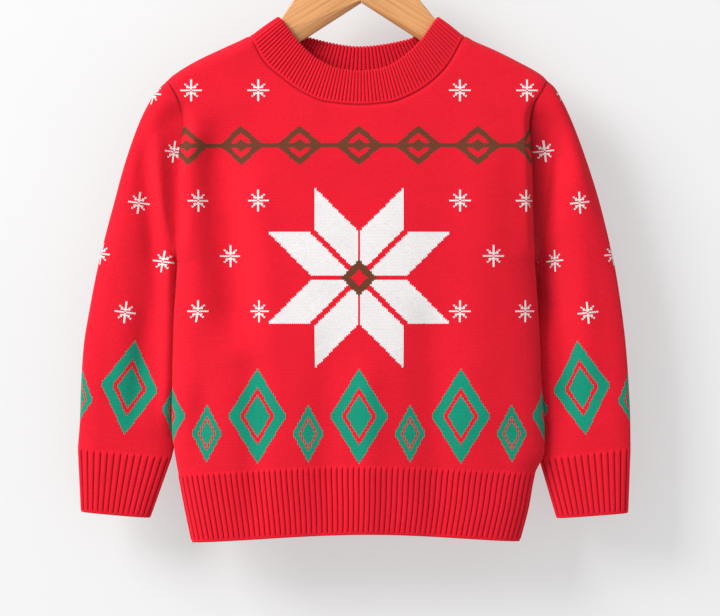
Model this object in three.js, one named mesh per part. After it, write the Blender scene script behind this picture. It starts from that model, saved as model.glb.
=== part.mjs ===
// A child's knitted sweater on a wooden hanger, in millimetres, +Z up, front towards -Y.
// The origin is the inner top of the hanger's hook.
import * as THREE from "three";

// Walls and seams
const CLOTH = 2.0; // single knit wall
const RIB_WALL = 2.3; // ribbed wall under its crests
const BAND_WALL = 3.0; // neckband, folded double
const SEAM = 0.3; // between two pieces at a seam
const ARMHOLE_SEAM = 0.4; // the same, measured sideways across the slanting armhole
const SIDE_ROUND = 25; // width over which the side folds round off
const TOP_ROUND = 10; // depth over which the cloth bends over the hanger
const SHOULDER_COS = 0.89; // shoulder slope, vertical to square distance
const RIB_HIGH = 0.45; // rib crest above the plain surface
const RIB_LOW = 0.5; // rib groove below it
const CREST_FROM = 0.28; // a crest's flat, in parts of a rib's pitch
const CREST_TO = 0.72;
const BODY_RIBS = 66; // across the front, and again across the back
const HEM_PLAIN = 36; // stretches of the plain inner face behind them
const CUFF_RIBS = 30; // all round a cuff
const CUFF_PLAIN = 30; // stretches of the plain inner face behind them
const DENSE = 400; // points worked out along a ribbed edge before its ribs are set out
const BAND_SWELL = 0.6; // the neckband's rounding between seam and edge
const BAND_LEVELS = [0, 0.35, 0.75, 1]; // rows of the neckband, from its seam to its free edge
const HANGER_HALF = 6; // half the thickness of a hanger arm
const HANGER_TIP_HALF = 4.5; // and at its tip
const HANGER_EDGE = 0.92; // its edges' radius, in parts of the half thickness
const NECK_SLOPE = 0.43; // rise of the shoulder line where it is carried on over the neck
const FOLD_END = 25; // length over which a fold dies away, each way from its end
const WIRE = 2; // radius of the hook's wire
const WIRE_SIDES = 10;
const HOOK_ROUND = 21; // radius of the hook's bend, at the middle of the wire
const HOOK_FROM = -48; // degrees where the bend starts, from level on the right
const HOOK_TO = 204; // and where it ends
const HOOK_STEP = 14; // degrees between its sections
const HOOK_EASE = 9; // length over which the stem turns into the bend
const HOOK_TIP = 1.4; // rounding of the wire's end
const STEM_TOP = -58; // where the straight stem ends
const BOARD_TOP = -75; // top of the hanger's arms, below the hook's inner top

// Sides of the body by height: the side seams below the underarm, the armholes above it.
// edge and front and back are half depths: near the side fold, mid front and mid back.
const SIDES = {
  z: [
    -573.8, -545, -517.5, -495, -477, -443, -391, -348, -333, -297, -258, -234, -215, -199, -192.5,
    -184.5, -176.5,
  ],
  left: [
    -143.6, -149.2, -153.1, -158.2, -160.6, -160.8, -160, -157.4, -156.5, -155.7, -155.7, -153.7,
    -150.8, -153.1, -155.2, -159.5, -163.4,
  ],
  right: [
    139.3, 146.9, 152.0, 160.8, 160.9, 158.8, 156.5, 153.7, 152.7, 151.4, 150.5, 149.5, 148.4, 151.0,
    154.0, 158.9, 164.3,
  ],
};
const DEPTHS = {
  z: [-575, -517, -440, -330, -250, -197, -172, -137],
  edge: [10, 11, 11, 10, 10, 10, 10.5, 10.5],
  front: [19, 22, 25, 24, 20, 16, 13.5, 12],
  back: [14, 16, 18, 17, 15, 13, 12, 11.5],
};
// How far the cloth has opened out from the side fold, by height above the underarm
const OPENING = { up: [0, 2, 6, 13, 25, 42, 160], by: [0, 1.6, 4.1, 7.9, 11.8, 14, 14] };
const UNDERARM = -333;
const SHOULDER = {
  x: [-163.4, -160, -139.3, -121.3, -102.3, -92.9, 91.3, 99.8, 119.5, 136.7, 159.1, 164.3],
  z: [-176.5, -172.2, -159.3, -150.7, -142.1, -138.2, -138.0, -142.1, -150.7, -159.3, -172.2, -176.5],
};
const JOIN = { x: [-153.1, 0, 152.2], z: [-517.9, -510.2, -516.2] }; // top of the hem rib
const HEM = { x: [-143.6, 10, 139.3], z: [-573.8, -566.3, -572.9] }; // bottom of the hem rib

// Neck seams and the neckband's free edges
const NECK = {
  frontSeam: {
    x: [-92.9, -80.5, -65.6, -47.9, -27.2, 2, 27.5, 46.9, 64.7, 78.0, 91.3],
    z: [-138.2, -161.0, -174.3, -186.8, -195.2, -197.8, -195.6, -188.4, -176.5, -162.0, -138.0],
  },
  frontEdge: {
    x: [-70.1, -65.5, -53.1, -36.1, -19, 0, 19, 37.8, 54.2, 65.0, 70.3],
    z: [-121.8, -126.5, -143.2, -158.9, -167.2, -170, -168.0, -158.8, -143.8, -129.0, -121.8],
  },
  backSeam: {
    x: [-92.9, -78, -45, 1, 46, 78, 91.3],
    z: [-138.2, -155, -169.5, -174.5, -169.5, -154.5, -138.0],
  },
  backEdge: {
    x: [-70.1, -60, -41, 1, 43, 61, 70.3],
    z: [-121.8, -131, -140.3, -147.7, -141.6, -131, -121.8],
  },
};
const EDGE_DEPTH = {
  part: [0, 0.25, 0.5, 0.75, 1],
  front: [11, 12, 13.5, 12, 11],
  back: [11, 10.8, 10.8, 10.8, 11],
};

// Largest folds of the body: soft ridges (up) and troughs (down) along a line
const BODY_FOLDS = [
  { side: -1, x1: -112, z1: -200, x2: -122, z2: -345, wide: 24, up: -3.2 },
  { side: -1, x1: -92, z1: -330, x2: -94, z2: -560, wide: 20, up: -2.6 },
  { side: -1, x1: -24, z1: -400, x2: -28, z2: -575, wide: 22, up: -2.4 },
  { side: -1, x1: 8, z1: -420, x2: 10, z2: -575, wide: 14, up: 2.2 },
  { side: -1, x1: 62, z1: -380, x2: 70, z2: -575, wide: 22, up: -3.0 },
  { side: -1, x1: 112, z1: -230, x2: 104, z2: -480, wide: 26, up: 2.4 },
  { side: 1, x1: -104, z1: -230, x2: -98, z2: -560, wide: 24, up: -2.6 },
  { side: 1, x1: -30, z1: -330, x2: -22, z2: -575, wide: 24, up: 2.0 },
  { side: 1, x1: 46, z1: -300, x2: 40, z2: -575, wide: 22, up: -2.8 },
  { side: 1, x1: 110, z1: -240, x2: 104, z2: -520, wide: 24, up: 2.2 },
];

// Sleeves, a row for each section from the armhole to the cuff: outer edge, inner edge,
// and how far back each edge lies
const LEFT_SLEEVE = [
  { ox: -163.4, oz: -176.5, oy: 0, ix: -156.5, iz: -333, iy: 0 },
  { ox: -170.0, oz: -181.0, oy: 0.3, ix: -157.6, iz: -334.8, iy: 2.6 },
  { ox: -178.0, oz: -191.8, oy: 0.8, ix: -157.6, iz: -338, iy: 6.5 },
  { ox: -186.4, oz: -207.0, oy: 1.4, ix: -156.6, iz: -343, iy: 10.5 },
  { ox: -194.4, oz: -227.0, oy: 2, ix: -155.4, iz: -350.5, iy: 13.5 },
  { ox: -202.6, oz: -252.0, oy: 2.4, ix: -154.4, iz: -361, iy: 15.5 },
  { ox: -210.2, oz: -280.0, oy: 2.8, ix: -153.6, iz: -377, iy: 16.5 },
  { ox: -218.2, oz: -310.0, oy: 3.2, ix: -152.6, iz: -397, iy: 17 },
  { ox: -225.6, oz: -341.0, oy: 3.6, ix: -151.5, iz: -418, iy: 17 },
  { ox: -231.8, oz: -373.0, oy: 4, ix: -151.5, iz: -439, iy: 16.5 },
  { ox: -237.0, oz: -405.0, oy: 4.4, ix: -153.0, iz: -458, iy: 15.5 },
  { ox: -239.2, oz: -437.0, oy: 4.8, ix: -155.5, iz: -476, iy: 14 },
  { ox: -240.2, oz: -467.0, oy: 5.2, ix: -158.2, iz: -489, iy: 12 },
  { ox: -242.1, oz: -493.0, oy: 5.6, ix: -160.8, iz: -500.7, iy: 10 },
];
const RIGHT_SLEEVE = [
  { ox: 164.3, oz: -176.5, oy: 0, ix: 152.7, iz: -333, iy: 0 },
  { ox: 169.4, oz: -182.0, oy: 0.3, ix: 153.9, iz: -334.8, iy: 2.6 },
  { ox: 175.6, oz: -192.2, oy: 0.8, ix: 153.9, iz: -338, iy: 6.5 },
  { ox: 182.4, oz: -206.2, oy: 1.4, ix: 153.4, iz: -343, iy: 10.5 },
  { ox: 190.4, oz: -226.0, oy: 2, ix: 152.6, iz: -350.5, iy: 13.5 },
  { ox: 199.6, oz: -252.0, oy: 2.4, ix: 151.9, iz: -361, iy: 15.5 },
  { ox: 208.2, oz: -280.0, oy: 2.8, ix: 151.0, iz: -377, iy: 16.8 },
  { ox: 215.8, oz: -310.0, oy: 3.2, ix: 150.0, iz: -397, iy: 17.5 },
  { ox: 222.6, oz: -341.0, oy: 3.6, ix: 148.0, iz: -418, iy: 18 },
  { ox: 227.6, oz: -373.0, oy: 4, ix: 147.6, iz: -439, iy: 17.5 },
  { ox: 231.4, oz: -405.0, oy: 4.4, ix: 149.4, iz: -458, iy: 16.5 },
  { ox: 233.8, oz: -437.0, oy: 4.8, ix: 152.0, iz: -476, iy: 15 },
  { ox: 235.2, oz: -467.0, oy: 5.2, ix: 154.4, iz: -489.5, iy: 13 },
  { ox: 235.6, oz: -492.4, oy: 5.6, ix: 156.5, iz: -502.1, iy: 11 },
];
const LEFT_CUFF_END = { ox: -239.5, oz: -547.7, oy: 6, ix: -179.5, iz: -553.2, iy: 9 };
const RIGHT_CUFF_END = { ox: 233.5, oz: -548.7, oy: 6, ix: 171.5, iz: -553.5, iy: 9 };
const SLEEVE_FOLDS = [
  { side: -1, x1: -168, z1: -222, x2: -165, z2: -330, wide: 11, up: -5.5 },
  { side: -1, x1: -186, z1: -250, x2: -196, z2: -420, wide: 16, up: 2.2 },
  { side: -1, x1: -176, z1: -360, x2: -190, z2: -470, wide: 12, up: -2.0 },
  { side: -1, x1: 166, z1: -205, x2: 167, z2: -335, wide: 12, up: -5.5 },
  { side: -1, x1: 186, z1: -250, x2: 198, z2: -430, wide: 16, up: 2.2 },
  { side: -1, x1: 172, z1: -350, x2: 184, z2: -470, wide: 12, up: -2.4 },
  { side: 1, x1: -190, z1: -240, x2: -200, z2: -420, wide: 16, up: -2.4 },
  { side: 1, x1: 190, z1: -240, x2: 200, z2: -420, wide: 16, up: -2.4 },
];
const SLEEVE_THICK = { row: [0, 3, 8, 13], edge: [8, 8, 7.5, 7], middle: [9, 9.5, 9.5, 8.5] };
const CUFF_THICK = { edge: 6.6, middle: 7.6 };
const SLEEVE_ROUND = 18; // width over which a sleeve's edges round off
const GROWN_BY = 3; // section where a sleeve has opened out from the armhole to its own thickness
const CHORD_END = 0.08; // part of a section's width that its middle stops short of each end

// Grid of a body panel: columns from the left side to the right one, low at the hem rib
// and high at the shoulders and neck; rows from the hem rib up
const LOW = [
  0, 0.005, 0.016, 0.036, 0.066, 0.115, 0.17, 0.225, 0.245, 0.265, 0.285, 0.305, 0.33, 0.365, 0.41,
  0.455, 0.5,
];
const HIGH_SHOULDER = [0, 0.03, 0.09, 0.2, 0.37, 0.58, 0.8, 1];
const HIGH_NECK = [0, 0.008, 0.022, 0.045, 0.085, 0.15, 0.23, 0.32, 0.41, 0.5];
const BELOW = [0, 0.12, 0.26, 0.4, 0.54, 0.68, 0.82, 0.94, 1];
const ABOVE = [2, 6, 13, 25, 42, 62, 84, 106, 125, 139.5, 147, 151.6, 154.8, 156.5];
const NECK_LEFT = 0.215; // where the neck starts and ends across the top edge
const NECK_RIGHT = 0.777;

// The flange at the foot of the hook's wire, in the same piece
const FLANGE = [
  { rise: 0, radius: 4.4 },
  { rise: 1.4, radius: 4.4 },
  { rise: 2.2, radius: 3.2 },
  { rise: 5, radius: 2.9 },
  { rise: 5.8, radius: WIRE },
];

// Hanger arm, a row for each upright slice from the middle out
const ARM = [
  { x: 0.15, low: -109.4, high: BOARD_TOP },
  { x: 7, low: -113.8, high: BOARD_TOP },
  { x: 17, low: -120.2, high: -76.7 },
  { x: 31, low: -129.2, high: -83.6 },
  { x: 43, low: -136.9, high: -94.8 },
  { x: 53.7, low: -143.8, high: -107.7 },
  { x: 61, low: -148.3, high: -116.6 },
  { x: 67.9, low: -152.4, high: -125.2 },
  { x: 79, low: -159.4, high: -134.2 },
  { x: 90.7, low: -166.4, high: -142.6 },
  { x: 102.3, low: -172.9, high: -146.0 },
  { x: 121, low: -183.4, high: -154.4 },
  { x: 136, low: -191.2, high: -161.8 },
  { x: 142.5, low: -192.6, high: -166.4 },
  { x: 146.5, low: -190.6, high: -171.5 },
  { x: 148.2, low: -186, high: -177 },
];

// Small helpers

const V = (x, y, z) => new THREE.Vector3(x, y, z);
const clamp = (n, low, high) => Math.min(Math.max(n, low), high);
const mix = (a, b, t) => a + (b - a) * t;
const rounded = (t) => Math.sqrt(1 - (1 - clamp(t, 0, 1)) ** 2);
const ease = (t) => clamp(t, 0, 1) ** 2 * (3 - 2 * clamp(t, 0, 1));

// A smooth line through a table's points that never swings past them.
function smooth(xs, ys, x) {
  const n = xs.length;
  if (x <= xs[0]) return ys[0];
  if (x >= xs[n - 1]) return ys[n - 1];
  let i = 0;
  while (x > xs[i + 1]) i++;
  const slope = (k) => (ys[k + 1] - ys[k]) / (xs[k + 1] - xs[k]);
  const tangent = (k) => {
    if (k === 0) return slope(0);
    if (k === n - 1) return slope(n - 2);
    const a = slope(k - 1);
    const b = slope(k);
    return a * b <= 0 ? 0 : (2 * a * b) / (a + b);
  };
  const h = xs[i + 1] - xs[i];
  const t = (x - xs[i]) / h;
  return (
    ys[i] * (2 * t ** 3 - 3 * t ** 2 + 1) +
    tangent(i) * h * (t ** 3 - 2 * t ** 2 + t) +
    ys[i + 1] * (3 * t ** 2 - 2 * t ** 3) +
    tangent(i + 1) * h * (t ** 3 - t ** 2)
  );
}

// A point part of the way along a plane curve, by its length.
function along(curve, part) {
  const line = new THREE.CatmullRomCurve3(
    curve.x.map((x, i) => V(x, 0, curve.z[i])),
    false,
    "centripetal",
  );
  line.arcLengthDivisions = 400;
  return line.getPointAt(clamp(part, 0, 1));
}

// Length of a table's curve.
function lengthOf(curve) {
  const line = Array.from({ length: 101 }, (_, i) => along(curve, i / 100));
  return lengthsAlong(line)[100];
}

// Height of the soft ridges and troughs of a table at a place.
function foldHeight(folds, side, x, z) {
  let height = 0;
  for (const fold of folds.filter((row) => row.side === side)) {
    const dx = fold.x2 - fold.x1;
    const dz = fold.z2 - fold.z1;
    const length = Math.hypot(dx, dz);
    const t = ((x - fold.x1) * dx + (z - fold.z1) * dz) / length;
    const away = Math.abs((x - fold.x1) * dz - (z - fold.z1) * dx) / length;
    const ends = ease((t + FOLD_END) / (2 * FOLD_END)) * ease((length + FOLD_END - t) / (2 * FOLD_END));
    height += fold.up * Math.exp(-((away / fold.wide) ** 2)) * ends;
  }
  return height;
}

// Shape of the body

const sideAt = (name, z) => smooth(SIDES.z, SIDES[name], z);

function shoulderHeight(x) {
  const { x: xs, z: zs } = SHOULDER;
  if (x > xs[5] && x < 0) return zs[5] + NECK_SLOPE * (x - xs[5]);
  if (x >= 0 && x < xs[6]) return zs[6] + NECK_SLOPE * (xs[6] - x);
  return smooth(xs, zs, x);
}

// How far the cloth's outer face is from the middle plane, at a place seen from the front.
function halfDepth(side, x, z) {
  const left = sideAt("left", z);
  const right = sideAt("right", z);
  const away = Math.max(Math.min(x - left, right - x), 0);
  const half = (right - left) / 2;
  const edge = smooth(DEPTHS.z, DEPTHS.edge, z);
  const middle = smooth(DEPTHS.z, side < 0 ? DEPTHS.front : DEPTHS.back, z);
  const opened = smooth(OPENING.up, OPENING.by, z - UNDERARM);
  const across = 1 - (1 - Math.min(away / half, 1)) ** 2;
  const below = (shoulderHeight(x) - z) * SHOULDER_COS;
  const folds = foldHeight(BODY_FOLDS, side, x, z) * ease(away / 30) * ease(below / 40);
  const plain = edge * rounded((away + opened) / SIDE_ROUND) + (middle - edge) * across;
  return plain * rounded(below / TOP_ROUND) + folds;
}

// Building closed walls from grids of points

class Wall {
  constructor() {
    this.points = [];
    this.faces = [];
  }
  row(list) {
    return list.map((p) => this.points.push(p) - 1);
  }
  // Triangles between two rows of points, which may differ in number.
  strip(a, b) {
    let i = 0;
    let j = 0;
    while (i < a.length - 1 || j < b.length - 1) {
      const nextA = i < a.length - 1 ? (i + 1) / (a.length - 1) : 2;
      const nextB = j < b.length - 1 ? (j + 1) / (b.length - 1) : 2;
      if (nextA <= nextB + 1e-9) {
        this.faces.push(a[i], a[i + 1], b[j]);
        i++;
      } else {
        this.faces.push(a[i], b[j + 1], b[j]);
        j++;
      }
    }
  }
  // A cap over a ring from its middle point.
  cap(ring, flip) {
    const middle = V(0, 0, 0);
    ring.forEach((k) => middle.add(this.points[k]));
    const m = this.points.push(middle.divideScalar(ring.length)) - 1;
    ring.forEach((k, i) => {
      const next = ring[(i + 1) % ring.length];
      if (flip) this.faces.push(m, next, k);
      else this.faces.push(m, k, next);
    });
  }
  geometry() {
    const f = this.faces;
    const p = this.points;
    let volume = 0;
    for (let i = 0; i < f.length; i += 3)
      volume += p[f[i]].dot(V(0, 0, 0).crossVectors(p[f[i + 1]], p[f[i + 2]]));
    if (volume < 0)
      for (let i = 0; i < f.length; i += 3) [f[i + 1], f[i + 2]] = [f[i + 2], f[i + 1]];
    const shape = new THREE.BufferGeometry();
    shape.setAttribute(
      "position",
      new THREE.Float32BufferAttribute(p.flatMap((q) => [q.x, q.y, q.z]), 3),
    );
    shape.setIndex(f);
    return shape;
  }
}

// A closed wall between an outer and an inner grid; rings close on themselves.
function closedWall(outer, inner, ring) {
  const wall = new Wall();
  const loop = (list) => (ring ? [...list, list[0]] : list);
  const o = outer.map((r) => loop(wall.row(r)));
  const n = inner.map((r) => loop(wall.row(r)));
  for (let i = 0; i + 1 < o.length; i++) wall.strip(o[i], o[i + 1]);
  for (let i = 0; i + 1 < n.length; i++) wall.strip(n[i + 1], n[i]);
  wall.strip(n[0], o[0]);
  wall.strip(o[o.length - 1], n[n.length - 1]);
  if (!ring) {
    const column = (grid, j) => grid.map((r) => r[j < 0 ? r.length - 1 : 0]);
    wall.strip(column(o, 0), column(n, 0));
    wall.strip(column(n, -1), column(o, -1));
  }
  return wall.geometry();
}

// Direction square to a grid of points at one of them.
function squareTo(grid, i, j, ring) {
  const rows = grid.length;
  const cols = grid[0].length;
  const across = ring
    ? V(0, 0, 0).subVectors(grid[i][(j + 1) % cols], grid[i][(j + cols - 1) % cols])
    : V(0, 0, 0).subVectors(grid[i][Math.min(j + 1, cols - 1)], grid[i][Math.max(j - 1, 0)]);
  const up = V(0, 0, 0).subVectors(grid[Math.min(i + 1, rows - 1)][j], grid[Math.max(i - 1, 0)][j]);
  return across.cross(up).normalize();
}

// Without its part along a seam's crossing, so that the wall's end lies in the seam.
function within(direction, crossing) {
  const unit = crossing.clone().normalize();
  return direction.clone().addScaledVector(unit, -direction.dot(unit)).normalize();
}

// Armhole loops, from the underarm up to the shoulder tip, with the way into the wall

function armhole(name, side) {
  const tip = SIDES.z[SIDES.z.length - 1];
  const points = [0, ...ABOVE].map((up) => {
    const z = UNDERARM + up;
    const x = sideAt(name, z);
    const y = z >= tip - 1e-6 || up === 0 ? 0 : halfDepth(side, x, z);
    return V(x, side * y, z);
  });
  const into = points.map((p, i) => {
    if (i === 0) return V(0, 0, 1);
    if (i === points.length - 1) return V(0, 0, -1);
    const a = points[i - 1];
    const b = points[i + 1];
    return V(0, -side * (b.z - a.z), side * (b.y - a.y)).normalize();
  });
  return { points, into };
}

// Body panels

function neckCurves(side) {
  return side < 0
    ? { seam: NECK.frontSeam, edge: NECK.frontEdge, depth: EDGE_DEPTH.front }
    : { seam: NECK.backSeam, edge: NECK.backEdge, depth: EDGE_DEPTH.back };
}

const neckParts = [...HIGH_NECK, ...HIGH_NECK.slice(0, -1).reverse().map((p) => 1 - p)];

function columnsOfPanel() {
  const low = [...LOW, ...LOW.slice(0, -1).reverse().map((p) => 1 - p)];
  const high = [];
  HIGH_SHOULDER.slice(0, -1).forEach((part) => high.push({ where: "left", part, u: part * NECK_LEFT }));
  neckParts.forEach((part) => high.push({ where: "neck", part, u: mix(NECK_LEFT, NECK_RIGHT, part) }));
  HIGH_SHOULDER.slice(0, -1).reverse().forEach((back) => {
    const part = 1 - back;
    high.push({ where: "right", part, u: mix(NECK_RIGHT, 1, part) });
  });
  return { low, high };
}

function topPoint(side, column) {
  const xs = SHOULDER.x;
  if (column.where === "neck") return along(neckCurves(side).seam, column.part);
  const x = column.where === "left" ? mix(xs[0], xs[5], column.part) : mix(xs[6], xs[11], column.part);
  return V(x, 0, smooth(SHOULDER.x, SHOULDER.z, x));
}

// Crossing of the neck seam: from the seam towards the band's free edge.
function neckCrossing(side, part) {
  const { seam, edge } = neckCurves(side);
  const s = along(seam, part);
  const e = along(edge, part);
  return V(e.x - s.x, 0, e.z - s.z).normalize();
}

function panelGrid(side) {
  const { low, high } = columnsOfPanel();
  const tip = SIDES.z[SIDES.z.length - 1];
  const joinLeft = JOIN.z[0];
  const joinRight = JOIN.z[2];
  const rows = [
    ...BELOW.map((f) => ({ left: mix(joinLeft, UNDERARM, f), right: mix(joinRight, UNDERARM, f) })),
    ...ABOVE.map((up) => ({ left: UNDERARM + up, right: UNDERARM + up })),
  ];
  const bottom = low.map((u) => {
    const x = mix(sideAt("left", joinLeft), sideAt("right", joinRight), u);
    return V(x, 0, smooth(JOIN.x, JOIN.z, x));
  });
  const top = high.map((column) => topPoint(side, column));
  const n = high.length - 1;
  return rows.map((row) => {
    const v = (row.left - joinLeft) / (tip - joinLeft);
    const left = V(sideAt("left", row.left), 0, row.left);
    const right = V(sideAt("right", row.right), 0, row.right);
    return high.map((column, j) => {
      const u = mix(low[j], column.u, v);
      const p = V(0, 0, 0);
      p.addScaledVector(bottom[j], 1 - v).addScaledVector(top[j], v);
      p.addScaledVector(left, 1 - u).addScaledVector(right, u);
      p.addScaledVector(bottom[0], -(1 - u) * (1 - v)).addScaledVector(bottom[n], -u * (1 - v));
      p.addScaledVector(top[0], -(1 - u) * v).addScaledVector(top[n], -u * v);
      p.y = side * Math.max(halfDepth(side, p.x, p.z), SEAM / 2);
      return p;
    });
  });
}

const panelCache = {};

// Outer and inner grids of a panel, and the way into the wall along its neck seam.
function panel(side) {
  if (panelCache[side]) return panelCache[side];
  const outer = panelGrid(side);
  const last = outer.length - 1;
  const cols = outer[0].length;
  const first = BELOW.length - 1;
  const neckFrom = HIGH_SHOULDER.length - 1;
  const neckTo = cols - HIGH_SHOULDER.length;
  const holes = { left: armhole("left", side), right: armhole("right", side) };
  const neckInto = [];
  const inner = outer.map((row, i) =>
    row.map((p, j) => {
      let into = squareTo(outer, i, j, false).multiplyScalar(-side);
      if (into.y * side > 0) into.multiplyScalar(-1);
      const atSide = j === 0 || j === cols - 1;
      if (atSide && i <= first) into = V(j === 0 ? 1 : -1, 0, 0);
      if (atSide && i > first) into = holes[j === 0 ? "left" : "right"].into[i - first].clone();
      if (i === 0 && !atSide) into = within(into, V(0, 0, 1));
      if (i === last && !atSide) {
        if (j < neckFrom || j > neckTo) {
          const slope = V(0, 0, 0).subVectors(outer[i][j + 1], outer[i][j - 1]);
          into = V(slope.z, 0, -slope.x).normalize();
        } else if (j === neckFrom || j === neckTo) {
          const c = neckCrossing(side, j === neckFrom ? 0 : 1);
          into = V(c.z, 0, -c.x).multiplyScalar(c.x > 0 ? 1 : -1);
        } else into = within(into, neckCrossing(side, neckParts[j - neckFrom]));
      }
      if (i === last && j >= neckFrom && j <= neckTo) neckInto.push(into.clone());
      const q = p.clone().addScaledVector(into, CLOTH);
      q.y = side * Math.max(q.y * side, SEAM / 2);
      return q;
    }),
  );
  panelCache[side] = { outer, inner, neckInto, neckSeam: outer[last].slice(neckFrom, neckTo + 1) };
  return panelCache[side];
}

// Ribs

// Lengths from the start of a line to each of its points.
function lengthsAlong(line) {
  const lengths = [0];
  for (let k = 1; k < line.length; k++) lengths.push(lengths[k - 1] + line[k].distanceTo(line[k - 1]));
  return lengths;
}

// The point part of the way along a line, and the stretch that it lies on.
function partWay(line, lengths, part) {
  const last = line.length - 1;
  const want = part * lengths[last];
  let k = 0;
  while (k < last - 1 && lengths[k + 1] < want) k++;
  const t = clamp((want - lengths[k]) / (lengths[k + 1] - lengths[k]), 0, 1);
  return { point: line[k].clone().lerp(line[k + 1], t), k };
}

// A row of ribs: a groove and the two shoulders of a crest for each.
function ribRow(count, pick) {
  const row = [];
  for (let r = 0; r < count; r++) {
    row.push(pick(r / count, RIB_LOW));
    row.push(pick((r + CREST_FROM) / count, -RIB_HIGH));
    row.push(pick((r + CREST_TO) / count, -RIB_HIGH));
  }
  return row;
}

// Hem rib, one half

// A plain line across the hem rib: level 0 is its free edge and 1 its join with the body.
function hemLine(side, level, gap) {
  const line = [];
  for (let k = 0; k <= DENSE; k++) {
    // closer together near the side folds
    const u = (1 - Math.cos((Math.PI * k) / DENSE)) / 2;
    const leftEnd = sideAt("left", mix(HEM.z[0], JOIN.z[0], level));
    const rightEnd = sideAt("right", mix(HEM.z[2], JOIN.z[2], level));
    const x = mix(leftEnd, rightEnd, u);
    const atHem = mix(HEM.x[0], HEM.x[2], u);
    const atJoin = mix(JOIN.x[0], JOIN.x[2], u);
    const z = mix(smooth(HEM.x, HEM.z, atHem), smooth(JOIN.x, JOIN.z, atJoin), level) - gap;
    const atSide = k === 0 || k === DENSE;
    line.push(V(x, side * Math.max(atSide ? 0 : halfDepth(side, x, z), SEAM / 2), z));
  }
  return { line, lengths: lengthsAlong(line) };
}

function ribbedHem(side) {
  const pickFrom = ({ line, lengths }) => (part, into) => {
    const { point, k } = partWay(line, lengths, part);
    const a = line[Math.max(k - 2, 0)];
    const b = line[Math.min(k + 3, DENSE)];
    const way = V(b.y - a.y, -(b.x - a.x), 0).normalize();
    if (way.y * side > 0) way.multiplyScalar(-1);
    if (part <= 0) way.set(1, 0, 0);
    if (part >= 1) way.set(-1, 0, 0);
    point.addScaledVector(way, into);
    point.y = side * Math.max(point.y * side, SEAM / 2);
    return point;
  };
  const picks = [hemLine(side, 0, 0), hemLine(side, 1, SEAM)].map(pickFrom);
  const outer = picks.map((pick) => [...ribRow(BODY_RIBS, pick), pick(1, RIB_LOW)]);
  const inner = picks.map((pick) =>
    Array.from({ length: HEM_PLAIN + 1 }, (_, k) => pick(k / HEM_PLAIN, RIB_WALL)),
  );
  return closedWall(outer, inner, false);
}

// Sleeves

// One point of a sleeve's outer face: section number, part of the way from the outer edge
// to the inner one, front or back, and the armhole point it grows from.
function sleevePoint(rows, at, part, side, root, chordShift) {
  const { o, across } = chordOf(rows[at]);
  const width = across.length();
  const thickWay = within(V(0, 1, 0), across);
  const edge = smooth(SLEEVE_THICK.row, SLEEVE_THICK.edge, at);
  const middle = smooth(SLEEVE_THICK.row, SLEEVE_THICK.middle, at);
  const near = Math.min(part, 1 - part) * width;
  const full = tubeDepth(part, width, edge, middle);
  const grown = 1 - (1 - clamp(at / GROWN_BY, 0, 1)) ** 2;
  const p = o.clone().addScaledVector(across, part);
  p.x += chordShift * (1 - grown);
  const folds = foldHeight(SLEEVE_FOLDS, side, p.x, p.z) * grown * ease(near / 14);
  const thick = mix(Math.abs(root.y), full, grown) + folds * ease((rows.length - 1 - at) / 2);
  return p.addScaledVector(thickWay, side * Math.max(thick, 0));
}

function sleeve(rows, name) {
  const out = Math.sign(rows[0].ox);
  const holes = { front: armhole(name, -1), back: armhole(name, 1) };
  const count = holes.front.points.length;
  const ring = [];
  for (let j = count - 1; j >= 0; j--) ring.push({ side: -1, hole: holes.front, j });
  for (let j = 1; j < count - 1; j++) ring.push({ side: 1, hole: holes.back, j });
  const top = V(rows[0].ox, 0, rows[0].oz);
  const low = V(rows[0].ix, 0, rows[0].iz);
  const outer = rows.map((_, at) =>
    ring.map(({ side, hole, j }) => {
      const root = hole.points[j];
      const part = (top.z - root.z) / (top.z - low.z);
      const shift = root.x - mix(top.x, low.x, part);
      const p = sleevePoint(rows, at, part, side, root, shift);
      if (at === 0) p.x += out * ARMHOLE_SEAM;
      return p;
    }),
  );
  const end = chordOf(rows[rows.length - 1]).across;
  const crossing = within(V(0, 1, 0), end).cross(end);
  const inner = outer.map((row, at) => {
    const { o, across } = chordOf(rows[at]);
    return row.map((p, k) => {
      let into = squareTo(outer, at, k, true);
      if (at === 0) into = ring[k].hole.into[ring[k].j].clone();
      if (at === rows.length - 1) into = within(into, crossing);
      const inwards = nearestOnChord(o, across, p).sub(p);
      if (into.dot(inwards) < 0 && at > 0) into.multiplyScalar(-1);
      return p.clone().addScaledVector(into, CLOTH);
    });
  });
  return closedWall(outer, inner, true);
}

// A section's outer edge and the way across to its inner one.
function chordOf(row) {
  const o = V(row.ox, row.oy, row.oz);
  return { o, across: V(row.ix, row.iy, row.iz).sub(o) };
}

// The nearest place to a point on the middle of a section, kept off its ends.
function nearestOnChord(o, across, p) {
  const t = V(0, 0, 0).subVectors(p, o).dot(across) / across.lengthSq();
  return o.clone().addScaledVector(across, clamp(t, CHORD_END, 1 - CHORD_END));
}

// Half the thickness of a flat tube, part of the way across it.
function tubeDepth(part, width, edge, middle) {
  const near = Math.min(part, 1 - part) * width;
  return edge * rounded(near / SLEEVE_ROUND) + (middle - edge) * (1 - (2 * part - 1) ** 2);
}

// Ribbed cuffs, from a sleeve's last section to their own end

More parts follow.
